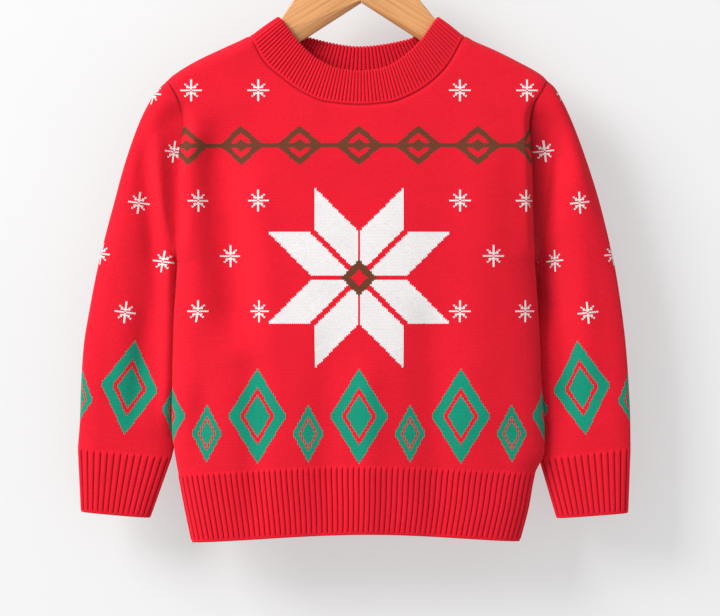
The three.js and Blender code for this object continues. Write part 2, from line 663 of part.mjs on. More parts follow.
// A plain line round a cuff.
function cuffLine(row, edge, middle, gap) {
  const { o, across } = chordOf(row);
  const thickWay = within(V(0, 1, 0), across);
  const crossing = thickWay.clone().cross(across).normalize();
  if (crossing.z > 0) crossing.multiplyScalar(-1);
  const line = [];
  for (let k = 0; k <= DENSE; k++) {
    const turn = (2 * Math.PI * k) / DENSE;
    const part = (1 - Math.cos(turn)) / 2;
    const side = Math.sin(turn) >= 0 ? -1 : 1;
    const p = o.clone().addScaledVector(across, part).addScaledVector(crossing, gap);
    line.push(p.addScaledVector(thickWay, side * tubeDepth(part, across.length(), edge, middle)));
  }
  return { line, lengths: lengthsAlong(line), crossing, o, across };
}

function ribbedCuff(rows, end) {
  const pickFrom = ({ line, lengths, crossing, o, across }) => (part, into) => {
    const { point, k } = partWay(line, lengths, part);
    const a = line[(k - 2 + DENSE) % DENSE];
    const b = line[(k + 3) % DENSE];
    const way = V(0, 0, 0).subVectors(b, a).cross(crossing).normalize();
    const inwards = nearestOnChord(o, across, point).sub(point);
    if (way.dot(inwards) < 0) way.multiplyScalar(-1);
    return point.addScaledVector(way, into);
  };
  const picks = [
    cuffLine(rows[rows.length - 1], SLEEVE_THICK.edge.at(-1), SLEEVE_THICK.middle.at(-1), SEAM),
    cuffLine(end, CUFF_THICK.edge, CUFF_THICK.middle, 0),
  ].map(pickFrom);
  const outer = picks.map((pick) => ribRow(CUFF_RIBS, pick));
  const inner = picks.map((pick) =>
    Array.from({ length: CUFF_PLAIN }, (_, k) => pick(k / CUFF_PLAIN, RIB_WALL)),
  );
  return closedWall(outer, inner, true);
}

// Neckband: one ring, front then back

// The neckband's points round the neck: the front from left to right, then the back.
function bandRing() {
  const last = neckParts.length - 1;
  const ring = neckParts.map((part, k) => ({ side: -1, part, k, corner: k === 0 || k === last }));
  for (let k = last - 1; k > 0; k--) ring.push({ side: 1, part: neckParts[k], k, corner: false });
  return ring;
}

function neckband() {
  const lengths = { "-1": lengthOf(NECK.frontEdge), 1: lengthOf(NECK.backEdge) };
  const base = bandRing().map(({ side, part, k, corner }) => {
    const { edge: free, depth } = neckCurves(side);
    const body = panel(side);
    const seam = body.neckSeam[k].clone();
    const edge = along(free, part);
    const near = Math.min(part, 1 - part) * lengths[side];
    edge.y = side * smooth(EDGE_DEPTH.part, depth, part) * rounded(near / TOP_ROUND);
    if (corner) seam.y = 0;
    if (corner) edge.y = 0;
    seam.addScaledVector(neckCrossing(side, part), SEAM);
    return { seam, edge, into: body.neckInto[k], corner };
  });
  const plain = BAND_LEVELS.map((level) => base.map(({ seam, edge }) => seam.clone().lerp(edge, level)));
  const ways = plain.map((row, i) =>
    row.map((p, j) => {
      if (i === 0) return base[j].into.clone();
      if (base[j].corner) {
        const c = V(0, 0, 0).subVectors(base[j].edge, base[j].seam).normalize();
        return V(c.z, 0, -c.x).multiplyScalar(Math.sign(c.x));
      }
      const into = squareTo(plain, i, j, true);
      const inwards = V(-0.2 * p.x, -p.y, 0);
      return into.dot(inwards) < 0 ? into.multiplyScalar(-1) : into;
    }),
  );
  const swell = (level) => (level === 0 ? 0 : BAND_SWELL * Math.sin(Math.PI * (0.1 + 0.8 * level)));
  const outer = plain.map((row, i) =>
    row.map((p, j) => p.clone().addScaledVector(ways[i][j], -swell(BAND_LEVELS[i]))),
  );
  const inner = outer.map((row, i) => row.map((p, j) => p.clone().addScaledVector(ways[i][j], BAND_WALL)));
  return closedWall(outer, inner, true);
}

// Hanger

function hangerArm(out) {
  const wall = new Wall();
  const slices = ARM.map((row, k) => {
    const last = k === ARM.length - 1;
    const half = last ? HANGER_TIP_HALF : HANGER_HALF;
    const r = Math.min(half, (row.high - row.low) / 2) * HANGER_EDGE;
    const points = [];
    const corners = [
      { y: -half + r, z: row.high - r, from: 180 },
      { y: half - r, z: row.high - r, from: 90 },
      { y: half - r, z: row.low + r, from: 0 },
      { y: -half + r, z: row.low + r, from: -90 },
    ];
    for (const corner of corners)
      for (const step of [0, 30, 60, 90]) {
        const turn = ((corner.from - step) * Math.PI) / 180;
        points.push(V(out * row.x, corner.y + r * Math.cos(turn), corner.z + r * Math.sin(turn)));
      }
    return wall.row(points);
  });
  const loop = (list) => [...list, list[0]];
  for (let i = 0; i + 1 < slices.length; i++) wall.strip(loop(slices[i]), loop(slices[i + 1]));
  wall.cap(slices[0], true);
  wall.cap(slices[slices.length - 1], false);
  return wall.geometry();
}

// The hook's middle line: up from the flange, out to one side and round over the top.
function hookLine() {
  const at = (degrees) => {
    const turn = (degrees * Math.PI) / 180;
    return V(HOOK_ROUND * Math.cos(turn), 0, WIRE - HOOK_ROUND + HOOK_ROUND * Math.sin(turn));
  };
  const lean = (HOOK_FROM * Math.PI) / 180;
  const way = V(Math.sin(-lean), 0, Math.cos(lean));
  const meet = at(HOOK_FROM);
  const bend = new THREE.CubicBezierCurve3(
    V(0, 0, STEM_TOP),
    V(0, 0, STEM_TOP + HOOK_EASE),
    meet.clone().addScaledVector(way, -HOOK_EASE),
    meet,
  );
  const points = bend.getPoints(6);
  for (let degrees = HOOK_FROM + HOOK_STEP; degrees <= HOOK_TO; degrees += HOOK_STEP) points.push(at(degrees));
  return points;
}

function hook() {
  const wall = new Wall();
  const line = hookLine();
  const ringAt = (centre, way, radius) => {
    const square = V(way.z, 0, -way.x);
    return Array.from({ length: WIRE_SIDES }, (_, k) => {
      const turn = (2 * Math.PI * k) / WIRE_SIDES;
      return centre
        .clone()
        .addScaledVector(square, radius * Math.cos(turn))
        .addScaledVector(V(0, 1, 0), radius * Math.sin(turn));
    });
  };
  const foot = BOARD_TOP + SEAM;
  const rings = FLANGE.map(({ rise, radius }) => ringAt(V(0, 0, foot + rise), V(0, 0, 1), radius));
  line.forEach((p, k) => {
    const a = line[Math.max(k - 1, 0)];
    const b = line[Math.min(k + 1, line.length - 1)];
    rings.push(ringAt(p, V(0, 0, 0).subVectors(b, a).normalize(), WIRE));
  });
  const tip = line.at(-1);
  const tipWay = V(0, 0, 0).subVectors(tip, line.at(-2)).normalize();
  rings.push(ringAt(tip.clone().addScaledVector(tipWay, HOOK_TIP), tipWay, WIRE * 0.55));
  const rows = rings.map((ring) => wall.row(ring));
  const loop = (list) => [...list, list[0]];
  for (let i = 0; i + 1 < rows.length; i++) wall.strip(loop(rows[i]), loop(rows[i + 1]));
  wall.cap(rows[0], true);
  wall.cap(rows[rows.length - 1], false);
  return wall.geometry();
}

// The object

const root = new THREE.Group();
root.name = "sweater_on_hanger";

function add(name, geometry, color, roughness, metalness = 0) {
  const mesh = new THREE.Mesh(geometry, new THREE.MeshStandardMaterial({ color, roughness, metalness }));
  mesh.name = name;
  root.add(mesh);
}

const RED = 0xd3202c;
for (const [name, side] of [
  ["front_panel", -1],
  ["back_panel", 1],
]) {
  const body = panel(side);
  add(name, closedWall(body.outer, body.inner, false), RED, 0.9);
}
add("hem_rib_front", ribbedHem(-1), RED, 0.9);
add("hem_rib_back", ribbedHem(1), RED, 0.9);
add("sleeve_left", sleeve(LEFT_SLEEVE, "left"), RED, 0.9);
add("sleeve_right", sleeve(RIGHT_SLEEVE, "right"), RED, 0.9);
add("cuff_left", ribbedCuff(LEFT_SLEEVE, LEFT_CUFF_END), RED, 0.9);
add("cuff_right", ribbedCuff(RIGHT_SLEEVE, RIGHT_CUFF_END), RED, 0.9);
add("neckband", neckband(), RED, 0.9);
add("hanger_arm_left", hangerArm(-1), 0xd9a066, 0.5);
add("hanger_arm_right", hangerArm(1), 0xd9a066, 0.5);
add("hook", hook(), 0xc8c8c8, 0.25, 1);

export default root;
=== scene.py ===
"""Dresses a child's knitted sweater on its hanger: knit shells, ribs, seams, materials and a studio stage."""

import math

import bpy
import numpy as np
from bpy.props import FloatProperty, FloatVectorProperty, PointerProperty
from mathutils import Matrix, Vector


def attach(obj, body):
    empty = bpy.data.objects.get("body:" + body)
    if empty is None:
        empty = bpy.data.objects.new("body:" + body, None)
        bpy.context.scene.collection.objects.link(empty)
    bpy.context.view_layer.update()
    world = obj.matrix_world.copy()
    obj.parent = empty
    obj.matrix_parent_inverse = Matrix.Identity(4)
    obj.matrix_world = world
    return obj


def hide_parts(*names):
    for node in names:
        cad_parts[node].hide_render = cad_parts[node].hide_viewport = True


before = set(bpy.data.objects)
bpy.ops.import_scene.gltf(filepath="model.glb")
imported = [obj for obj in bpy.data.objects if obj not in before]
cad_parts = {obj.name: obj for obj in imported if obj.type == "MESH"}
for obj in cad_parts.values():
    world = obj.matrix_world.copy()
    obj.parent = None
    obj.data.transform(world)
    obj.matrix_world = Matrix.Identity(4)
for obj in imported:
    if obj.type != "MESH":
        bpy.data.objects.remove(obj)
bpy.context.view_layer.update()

bl_info = {
    "name": "Knitted Sweater on a Hanger",
    "version": (1, 0, 0),
    "blender": (4, 5, 0),
    "location": "View3D > Sidebar > Sweater",
    "description": "Builds a child's jacquard sweater with ribbed edges on a wooden hanger",
    "category": "Object",
}

# Lengths below are in millimetres, as the sweater's maker would give them
MM = 0.001
SIDE_ROUND = 25  # width over which the side folds round off
TOP_ROUND = 10  # depth over which the cloth bends over the hanger
SHOULDER_COS = 0.89  # shoulder slope, vertical to square distance
SEAM = 0.1  # between two pieces at a seam
NECK_SEAM = 0.3
SEAM_SHADE_WIDTH = 0.75  # half the width of the painted shade along a seam
FRONT = -1
BACK = 1
BODY_RIBS = 66  # across the front, and again across the back
CUFF_RIBS = 30  # all round a cuff
BAND_RIBS = {FRONT: 70, BACK: 52}  # of the neckband
RIB_POINTS = 12  # across one rib of the hem or a cuff
BAND_RIB_POINTS = 6  # across one rib of the neckband
BAND_SWELL = 0.6  # the neckband's rounding between seam and edge
HANGER_HALF = 6  # half the thickness of a hanger arm
TIP_THINNER = 1.5  # how much less it is at an arm's tip
BOARD_TOP = -75  # top of the hanger's arms, below the hook's inner top
HOOK_ROUND = 21  # radius of the hook's bend, at the middle of the wire
HOOK_TURN = (-48, 204)  # degrees where the bend starts and ends, from level on the right
HOOK_EASE = 9  # reach, at each end, of the curve that joins stem and bend
STEM_TOP = -58.0  # where the straight stem ends
# The hook's flange and foot: height over the arms and radius, until the wire's own radius takes over
FLANGE_RISE = [0, 0.4, 1.2, 1.6, 2.0, 3.0, 4.6, 5.2, 5.8, 8, 12]
FLANGE_RADIUS = [4.1, 4.4, 4.4, 4.1, 3.2, 3.0, 2.9, 2.6]

# Sides of the body by height: the side seams below the underarm, the armholes above it
SIDES = {
    "z": [-573.8, -545, -517.5, -495, -477, -443, -391, -348, -333, -297, -258, -234, -215, -199,
          -192.5, -184.5, -176.5],
    "left": [-143.4, -149.4, -154.6, -158.6, -160.6, -160.8, -160, -157.4, -156.5, -155.7, -155.7,
             -153.7, -150.8, -153.1, -155.2, -159.5, -164.6],
    "right": [139.3, 146.9, 152.0, 160.8, 160.9, 158.8, 156.5, 153.7, 152.7, 151.4, 150.5, 149.5,
              148.4, 151.0, 154.0, 158.9, 163.1],
}
# Half depths of the body: near the side fold, mid front and mid back
DEPTHS = {
    "z": [-575, -517, -440, -330, -250, -197, -172, -137],
    "edge": [10, 11, 11.5, 12, 13.2, 11.5, 10.5, 10.5],
    FRONT: [19, 22, 25, 24, 20, 16, 13.5, 12],
    BACK: [14, 16, 18, 17, 15, 13, 12, 11.5],
}
NECK_DIP = 1.1  # of the cloth at the neck seam
NECK_DIP_WIDE = 2.0
NECK_SLOPE = 0.43  # rise of the shoulder line where it is carried on over the neck
FOLD_END = 25  # length over which a fold dies away, each way from its end
ARMHOLE_DIP = 0.62  # part of its depth that the cloth loses at the armhole seam
ARMHOLE_DIP_WIDE = {"left": 6.5, "right": 3.2}
SEAM_SHADE_END = {"left": -215, "right": -240}  # height at which an armhole's painted seam shade has faded out
# Painted shade on a sleeve's front where it turns in beside the body: how dark, how wide and the height where
# it ends
PAINTED_GULLY_SHADE = {"left": (0.3, 9, -290), "right": (0.9, 11, -405)}
SLEEVE_RISE = {"left": 3.2, "right": 5.0}  # sections over which a sleeve rises from the armhole
# How far the cloth has opened out from the side fold, by height above the underarm
OPENING = {"up": [0, 2, 6, 13, 25, 42, 160], "by": [0, 1.6, 4.1, 7.9, 11.8, 14, 14]}
UNDERARM = -333
SHOULDER_TIP = SIDES["z"][-1]
SHOULDER = {
    "x": [-164.6, -160, -139.3, -121.3, -102.3, -92.9, 91.3, 99.8, 119.5, 136.7, 159.1, 163.1],
    "z": [-176.5, -172.2, -159.3, -150.7, -142.1, -138.2, -138.0, -142.1, -150.7, -159.3, -172.2, -176.5],
}
NECK_ENDS = (-92.9, 91.3)
JOIN = {"x": [-153.1, 0, 152.2], "z": [-515.1, -507.4, -513.4]}  # top of the hem rib
HEM = {"x": [-143.6, 10, 139.3], "z": [-573.8, -566.3, -572.9]}  # bottom of the hem rib

# Neck seams and the neckband's free edges, by side
NECK_SEAMS = {
    FRONT: {
        "x": [-92.9, -80.5, -65.6, -47.9, -27.2, 2, 27.5, 46.9, 64.7, 78.0, 91.3],
        "z": [-138.2, -161.0, -174.3, -186.8, -195.2, -197.8, -195.6, -188.4, -176.5, -162.0, -138.0],
    },
    BACK: {
        "x": [-92.9, -78, -45, 1, 46, 78, 91.3],
        "z": [-138.2, -155, -169.5, -174.5, -169.5, -154.5, -138.0],
    },
}
NECK_EDGES = {
    FRONT: {
        "x": [-70.1, -65.5, -53.1, -36.1, -19, 0, 19, 37.8, 54.2, 65.0, 70.3],
        "z": [-121.8, -126.5, -143.2, -158.9, -167.2, -170, -168.0, -158.8, -143.8, -129.0, -121.8],
    },
    BACK: {
        "x": [-70.1, -60, -41, 1, 43, 61, 70.3],
        "z": [-121.8, -131, -140.3, -147.7, -141.6, -131, -121.8],
    },
}
# Half depth of the neckband's free edge, by part of the way along it
EDGE_DEPTH = {
    "part": [0, 0.25, 0.5, 0.75, 1],
    FRONT: [11, 12, 13.5, 12, 11],
    BACK: [11, 10.8, 10.8, 10.8, 11],
}

# Soft ridges and troughs: side, line from (x, z) to (x, z), how wide and how high
BODY_FOLDS = [
    (FRONT, (-122, -222), (-104, -395), 20, -13.0),
    (FRONT, (-92, -262), (-76, -400), 15, 2.8),
    (FRONT, (-134, -440), (-140, -500), 12, -3.4),
    (FRONT, (-92, -400), (-90, -560), 13, -3.6),
    (FRONT, (-24, -400), (-28, -575), 16, -3.4),
    (FRONT, (8, -420), (10, -575), 12, 2.6),
    (FRONT, (62, -380), (70, -575), 17, -4.0),
    (FRONT, (112, -230), (104, -480), 24, 3.0),
    (BACK, (-104, -230), (-98, -560), 24, -2.6),
    (BACK, (-30, -330), (-22, -575), 24, 2.0),
    (BACK, (46, -300), (40, -575), 22, -2.8),
    (BACK, (110, -240), (104, -520), 24, 2.2),
]
SLEEVE_FOLDS = [
    (FRONT, (-172, -225), (-167, -325), 7, 4.4),
    (FRONT, (-186, -232), (-176, -345), 8, -3.4),
    (FRONT, (-163, -318), (-167, -462), 8, 9.0),
    (FRONT, (-198, -290), (-206, -430), 15, 2.6),
    (FRONT, (-182, -370), (-194, -470), 9, -3.0),
    (FRONT, (165, -220), (162, -382), 12, -5.8),
    (FRONT, (189, -240), (201, -430), 13, 4.2),
    (FRONT, (172, -350), (184, -470), 12, -2.4),
    (BACK, (-190, -240), (-200, -420), 16, -2.4),
    (BACK, (190, -240), (200, -420), 16, -2.4),
]
# Sleeves, a row for each section from the armhole to the cuff: outer edge (x, y, z), inner edge
SLEEVES = {
    "left": [
        ((-164.6, 0, -176.5), (-156.5, 0, -333)),
        ((-170.0, 0.3, -181.6), (-157.6, 2.6, -334.8)),
        ((-178.0, 0.8, -191.8), (-157.6, 6.5, -338)),
        ((-186.4, 1.4, -207.0), (-155.6, 10.5, -343)),
        ((-194.4, 2, -227.0), (-153.2, 13.5, -350.5)),
        ((-202.6, 2.4, -252.0), (-150.6, 15.5, -361)),
        ((-210.2, 2.8, -280.0), (-148.4, 16.5, -377)),
        ((-218.2, 3.2, -310.0), (-146.8, 17, -397)),
        ((-225.6, 3.6, -341.0), (-146.6, 17, -418)),
        ((-231.8, 4, -373.0), (-147.6, 16.5, -439)),
        ((-237.0, 4.4, -405.0), (-150.6, 15.5, -458)),
        ((-239.2, 4.8, -437.0), (-154.2, 14, -476)),
        ((-240.2, 5.2, -467.0), (-158.2, 12, -489)),
        ((-242.1, 5.6, -493.0), (-160.8, 10, -500.7)),
    ],
    "right": [
        ((163.1, 0, -176.5), (152.7, 0, -333)),
        ((169.4, 0.3, -182.0), (153.9, 2.6, -334.8)),
        ((175.6, 0.8, -192.2), (153.9, 6.5, -338)),
        ((182.4, 1.4, -206.2), (153.4, 10.5, -343)),
        ((190.4, 2, -226.0), (152.6, 13.5, -350.5)),
        ((199.6, 2.4, -252.0), (151.9, 15.5, -361)),
        ((208.2, 2.8, -280.0), (151.0, 16.8, -377)),
        ((215.8, 3.2, -310.0), (150.0, 17.5, -397)),
        ((222.6, 3.6, -341.0), (148.0, 18, -418)),
        ((227.6, 4, -373.0), (147.6, 17.5, -439)),
        ((231.4, 4.4, -405.0), (149.4, 16.5, -458)),
        ((233.8, 4.8, -437.0), (152.0, 15, -476)),
        ((235.2, 5.2, -467.0), (154.4, 13, -489.5)),
        ((235.6, 5.6, -492.4), (156.5, 11, -502.1)),
    ],
}
CUFF_ENDS = {
    "left": ((-239.5, 6, -547.7), (-179.5, 9, -553.2)),
    "right": ((233.5, 6, -548.7), (171.5, 9, -553.5)),
}
SLEEVE_THICK = {"row": [0, 3, 8, 13], "edge": [8, 8, 7.5, 7], "middle": [11, 12, 11.5, 9]}
CUFF_THICK = {"edge": 6.6, "middle": 7.6}
SLEEVE_ROUND = 18  # width over which a sleeve's edges round off
LEAST_OPEN = 3.2  # half the depth of a sleeve in its deepest folds
SLEEVE_ROUND_POINTS = 128
SLEEVE_SECTIONS = np.concatenate([np.linspace(0, 4, 29), np.linspace(4, 13, 100)[1:]])

EDGE_ROUND = 1.8  # of the arms' upper and lower edges
# Bevels of the arms' lower edges: how each widens along its arm, the least width, and the depth
BEVEL = {"left": 0.26, "right": 0.03, "least": 2.2, "deep": 2.8}
# The arms' lower edges stand to the right, and the left arm is the wider
LEAN = {"low": 3.0, "high": 2.4}
# Hanger arm: distance from the middle, lower and upper edge
ARM = {
    "x": [0.15, 7, 17, 31, 43, 53.7, 61, 67.9, 79, 90.7, 102.3, 121, 136, 142.5, 146.5, 148.2],
    "low": [-109.4, -113.8, -120.2, -129.2, -136.9, -143.8, -148.3, -152.4, -159.4, -166.4, -172.9,
            -183.4, -191.2, -192.6, -190.6, -186],
    "high": [-75, -75, -76.7, -83.6, -94.8, -107.7, -116.6, -125.2, -134.2, -142.6, -146.0, -154.4,
             -161.8, -166.4, -171.5, -177],
}


# Sizes and colours that a user would change


class KnitSettings(bpy.types.PropertyGroup):
    red: FloatVectorProperty(
        name="Ground", description="Main yarn", subtype="COLOR", size=3, min=0, max=1,
        default=(0.74, 0.008, 0.025))
    white: FloatVectorProperty(
        name="White", description="Yarn of the star and crystals", subtype="COLOR", size=3, min=0, max=1,
        default=(0.78, 0.75, 0.75))
    green: FloatVectorProperty(
        name="Green", description="Yarn of the lozenges", subtype="COLOR", size=3, min=0, max=1,
        default=(0.003, 0.275, 0.17))
    brown: FloatVectorProperty(
        name="Brown", description="Yarn of the chest band", subtype="COLOR", size=3, min=0, max=1,
        default=(0.14, 0.042, 0.02))
    stitch_width: FloatProperty(
        name="Stitch Width", description="Width of one wale", default=0.0017, min=0.0005, unit="LENGTH")
    stitch_height: FloatProperty(
        name="Stitch Height", description="Height of one course", default=0.00125, min=0.0005, unit="LENGTH")
    cloth: FloatProperty(
        name="Cloth", description="Thickness of the plain knit", default=0.002, min=0.0005, unit="LENGTH")
    rib_wall: FloatProperty(
        name="Rib Wall", description="Thickness of the ribbed knit", default=0.0023, min=0.001, unit="LENGTH")
    band_wall: FloatProperty(
        name="Band Wall", description="Thickness of the doubled neckband", default=0.003, min=0.001,
        unit="LENGTH")


class HangerSettings(bpy.types.PropertyGroup):
    wood: FloatVectorProperty(
        name="Wood", description="Colour of the oiled beech", subtype="COLOR", size=3, min=0, max=1,
        default=(0.48, 0.225, 0.078))
    wire: FloatProperty(
        name="Wire", description="Radius of the hook's wire", default=0.002, min=0.0005, unit="LENGTH")


class StageSettings(bpy.types.PropertyGroup):
    wall: FloatVectorProperty(
        name="Wall", description="Colour of the wall", subtype="COLOR", size=3, min=0, max=1,
        default=(0.285, 0.285, 0.285))
    glow: FloatProperty(name="Glow", description="Light that the wall gives off itself", default=0.46, min=0)
    key: FloatProperty(
        name="Key Light", description="Power of the key light", default=247, min=0, unit="POWER")
    sky: FloatProperty(name="Sky", description="Strength of the even light", default=0.775, min=0)
    wall_gap: FloatProperty(
        name="Wall Gap", description="From the middle of the sweater to the wall", default=0.056,
        unit="LENGTH")
    floor: FloatProperty(
        name="Floor", description="Height of the floor, from the hook's inner top", default=-0.95,
        unit="LENGTH")


# Curves and sections


def smooth(xs, ys, x):
    """A smooth line through a table's points that never swings past them."""
    xs, ys, x = (np.asarray(values, float) for values in (xs, ys, x))
    slopes = np.diff(ys) / np.diff(xs)
    before, after = slopes[:-1], slopes[1:]
    same_way = before * after > 0
    middle = np.where(same_way, 2 * before * after / np.where(same_way, before + after, 1), 0)
    tangents = np.concatenate([slopes[:1], middle, slopes[-1:]])
    i = np.clip(np.searchsorted(xs, x, side="right") - 1, 0, len(xs) - 2)
    h = xs[i + 1] - xs[i]
    t = np.clip((x - xs[i]) / h, 0, 1)
    return (ys[i] * (2 * t**3 - 3 * t**2 + 1) + tangents[i] * h * (t**3 - 2 * t**2 + t)
            + ys[i + 1] * (3 * t**2 - 2 * t**3) + tangents[i + 1] * h * (t**3 - t**2))


def mix(a, b, t):
    return a + (b - a) * t


def rounded(t):
    """A quarter circle's rise from 0 to 1."""
    return np.sqrt(1 - (1 - np.clip(t, 0, 1)) ** 2)


def ease(t):
    t = np.clip(t, 0, 1)
    return t * t * (3 - 2 * t)


def unit(v):
    return v / np.maximum(np.linalg.norm(v, axis=-1, keepdims=True), 1e-9)


def points(x, y, z):
    return np.stack(np.broadcast_arrays(np.asarray(x, float), y, z), axis=-1)


def lengths_along(line):
    """Distance from the start of a line to each of its points."""
    return np.concatenate([[0], np.cumsum(np.linalg.norm(np.diff(line, axis=0), axis=1))])


def resample(line, parts):
    """Points part of the way along a line of points, by its length."""
    total = lengths_along(line)
    return np.stack([np.interp(parts * total[-1], total, line[:, k]) for k in range(line.shape[1])], axis=-1)


def along(curve, parts):
    """Points part of the way along a table's curve in the plane y = 0."""
    knots = lengths_along(np.stack([curve["x"], curve["z"]], axis=-1))
    dense = np.linspace(0, knots[-1], 600)
    line = points(smooth(knots, curve["x"], dense), 0, smooth(knots, curve["z"], dense))
    return resample(line, np.clip(parts, 0, 1))


def fold_height(folds, side, x, z):
    """Height of a table's ridges and troughs at a place."""
    height = np.zeros(np.broadcast(x, z).shape)
    for fold_side, (x1, z1), (x2, z2), wide, up in folds:
        if fold_side != side:
            continue
        length = math.hypot(x2 - x1, z2 - z1)
        way_x, way_z = (x2 - x1) / length, (z2 - z1) / length
        t = (x - x1) * way_x + (z - z1) * way_z
        away = (x - x1) * way_z - (z - z1) * way_x
        ends = ease((t + FOLD_END) / (2 * FOLD_END)) * ease((length + FOLD_END - t) / (2 * FOLD_END))
        height = height + up * np.exp(-((away / wide) ** 2)) * ends
    return height


def side_at(name, z):
    return smooth(SIDES["z"], SIDES[name], z)


def shoulder_height(x):
    """Height of the shoulder line, carried on over the neck."""
    left, right = NECK_ENDS
    over_neck = smooth(SHOULDER["x"], SHOULDER["z"], [left])[0] + NECK_SLOPE * np.minimum(x - left, right - x)
    return np.where((x > left) & (x < right), over_neck, smooth(SHOULDER["x"], SHOULDER["z"], x))


def half_depth(side, x, z):
    """How far the cloth's outer face is from the middle plane, at a place seen from the front."""
    left, right = side_at("left", z), side_at("right", z)
    away = np.maximum(np.minimum(x - left, right - x), 0)
    edge = smooth(DEPTHS["z"], DEPTHS["edge"], z)
    middle = smooth(DEPTHS["z"], DEPTHS[side], z)
    opened = smooth(OPENING["up"], OPENING["by"], z - UNDERARM)
    across = 1 - (1 - np.minimum(away / ((right - left) / 2), 1)) ** 2
    below = (shoulder_height(x) - z) * SHOULDER_COS
    folds = fold_height(BODY_FOLDS, side, x, z) * ease(away / 30) * ease(below / 40)
    plain = edge * rounded((away + opened) / SIDE_ROUND) + (middle - edge) * across
    wide = np.where(x < 0, ARMHOLE_DIP_WIDE["left"], ARMHOLE_DIP_WIDE["right"])
    dip = ARMHOLE_DIP * np.exp(-((away / wide) ** 2)) * ease((z - UNDERARM) / 30) * ease((-188 - z) / 22)
    return plain * (1 - dip) * rounded(below / TOP_ROUND) + folds


def neck_gap(side, x, z):
    """Distance of each place from the neck seam, as seen from the front."""
    seam = along(NECK_SEAMS[side], np.linspace(0, 1, 260))
    gap = np.full(np.shape(x), 100.0)
    close = z > seam[:, 2].min() - 5 * NECK_DIP_WIDE
    gap[close] = np.hypot(x[close][:, None] - seam[:, 0], z[close][:, None] - seam[:, 2]).min(axis=1)
    return gap


def dipped_depth(side, x, z):
    """The outer face's distance from the middle plane, with the dip along the neck seam."""
    dip = NECK_DIP * np.exp(-((neck_gap(side, x, z) / NECK_DIP_WIDE) ** 2))
    return half_depth(side, x, z) - dip * ease((shoulder_height(x) - z) / 14)


def normals_of(grid, ring):
    """Directions square to a grid of points."""
    if ring:
        across = np.roll(grid, -1, axis=1) - np.roll(grid, 1, axis=1)
    else:
        across = np.gradient(grid, axis=1)
    return unit(np.cross(across, np.gradient(grid, axis=0)))


def within(direction, crossing):
    """A direction without its part along a seam's crossing."""
    crossing = unit(crossing)
    return unit(direction - np.sum(direction * crossing, axis=-1, keepdims=True) * crossing)


# Meshes


def lip_rows(outer, inner, steps):
    """A half round between the last rows of a wall's two faces."""
    middle = (outer[-1] + inner[-1]) / 2
    half = outer[-1] - middle
    beyond = within(outer[-1] - outer[-2] + inner[-1] - inner[-2], half)
    radius = np.linalg.norm(half, axis=-1, keepdims=True)
    turns = np.pi * np.arange(1, steps + 1) / (steps + 1)
    return np.array([middle + half * math.cos(t) + beyond * radius * math.sin(t) for t in turns])


def add_wall(name, outer, inner, knit, ring=False, lip=0):
    """A closed shell between two grids of points. knit gives stitch coordinates for each point of a
    grid, with one more column on a ring; the last rows may be joined by a rounded lip."""
    rows, cols = outer.shape[:2]
    parts = [outer, inner[::-1]]
    maps = [knit, knit[::-1]]
    if lip:
        parts.insert(1, lip_rows(outer, inner, lip))
        maps.insert(1, np.repeat(knit[-1:], lip, axis=0))
    grid = np.concatenate(parts)
    uv = np.concatenate(maps)
    count = len(grid)
    i, j = np.meshgrid(np.arange(count), np.arange(cols if ring else cols - 1), indexing="ij")
    down, right = (i + 1) % count, (j + 1) % cols
    faces = np.stack([i * cols + j, i * cols + right, down * cols + right, down * cols + j], axis=-1)
    corners = np.stack([uv[i, j], uv[i, j + 1], uv[down, j + 1], uv[down, j]], axis=-2)
    faces, corners = faces.reshape(-1, 4), corners.reshape(-1, 4, 2)
    inside = ((i >= rows + lip) & (i < count)).reshape(-1)
    flat = grid.reshape(-1, 3)
    a, b, c = flat[faces[:, 0]], flat[faces[:, 1]], flat[faces[:, 2]]
    if ring:
        facing_in = np.sum(a * np.cross(b, c)) < 0
    else:
        out = outer - inner
        facing_in = np.sum(normals_of(outer, False) * out) > 0
    polygons, loops = faces.tolist(), corners.reshape(-1, 2)
    if not ring:
        for j_end in (0, cols - 1):
            rim = [k * cols + j_end for k in range(count)]
            ends = [[rim[k], rim[k + 1], rim[count - 2 - k], rim[count - 1 - k]] for k in range(rows - 1)]
            if lip:
                ends.append(rim[rows - 1 : rows + lip + 1])
            if j_end == 0:
                ends = [end[::-1] for end in ends]
            for end in ends:
                polygons.append(end[::-1])
                loops = np.concatenate([loops, [uv[k // cols, j_end] for k in end[::-1]]])
                inside = np.append(inside, True)
    mesh = bpy.data.meshes.new(name)
    mesh.from_pydata(flat * MM, [], polygons)
    layer = mesh.uv_layers.new(name="knit")
    layer.data.foreach_set("uv", np.ascontiguousarray(loops, dtype=np.float32).ravel())
    mesh.polygons.foreach_set("material_index", inside.astype(np.int32))
    if facing_in:
        mesh.flip_normals()
    return finish_mesh(mesh)


def loft_mesh(name, grid):
    """A mesh through closed sections, with flat ends, and its side faces."""
    rows, cols = grid.shape[:2]
    i, j = np.meshgrid(np.arange(rows - 1), np.arange(cols), indexing="ij")
    here, below, right = i * cols, (i + 1) * cols, (j + 1) % cols
    quads = np.stack([here + j, here + right, below + right, below + j], axis=-1).reshape(-1, 4)
    ends = [list(range(cols))[::-1], list(range((rows - 1) * cols, rows * cols))]
    mesh = bpy.data.meshes.new(name)
    mesh.from_pydata(grid.reshape(-1, 3) * MM, [], quads.tolist() + ends)
    return mesh, quads


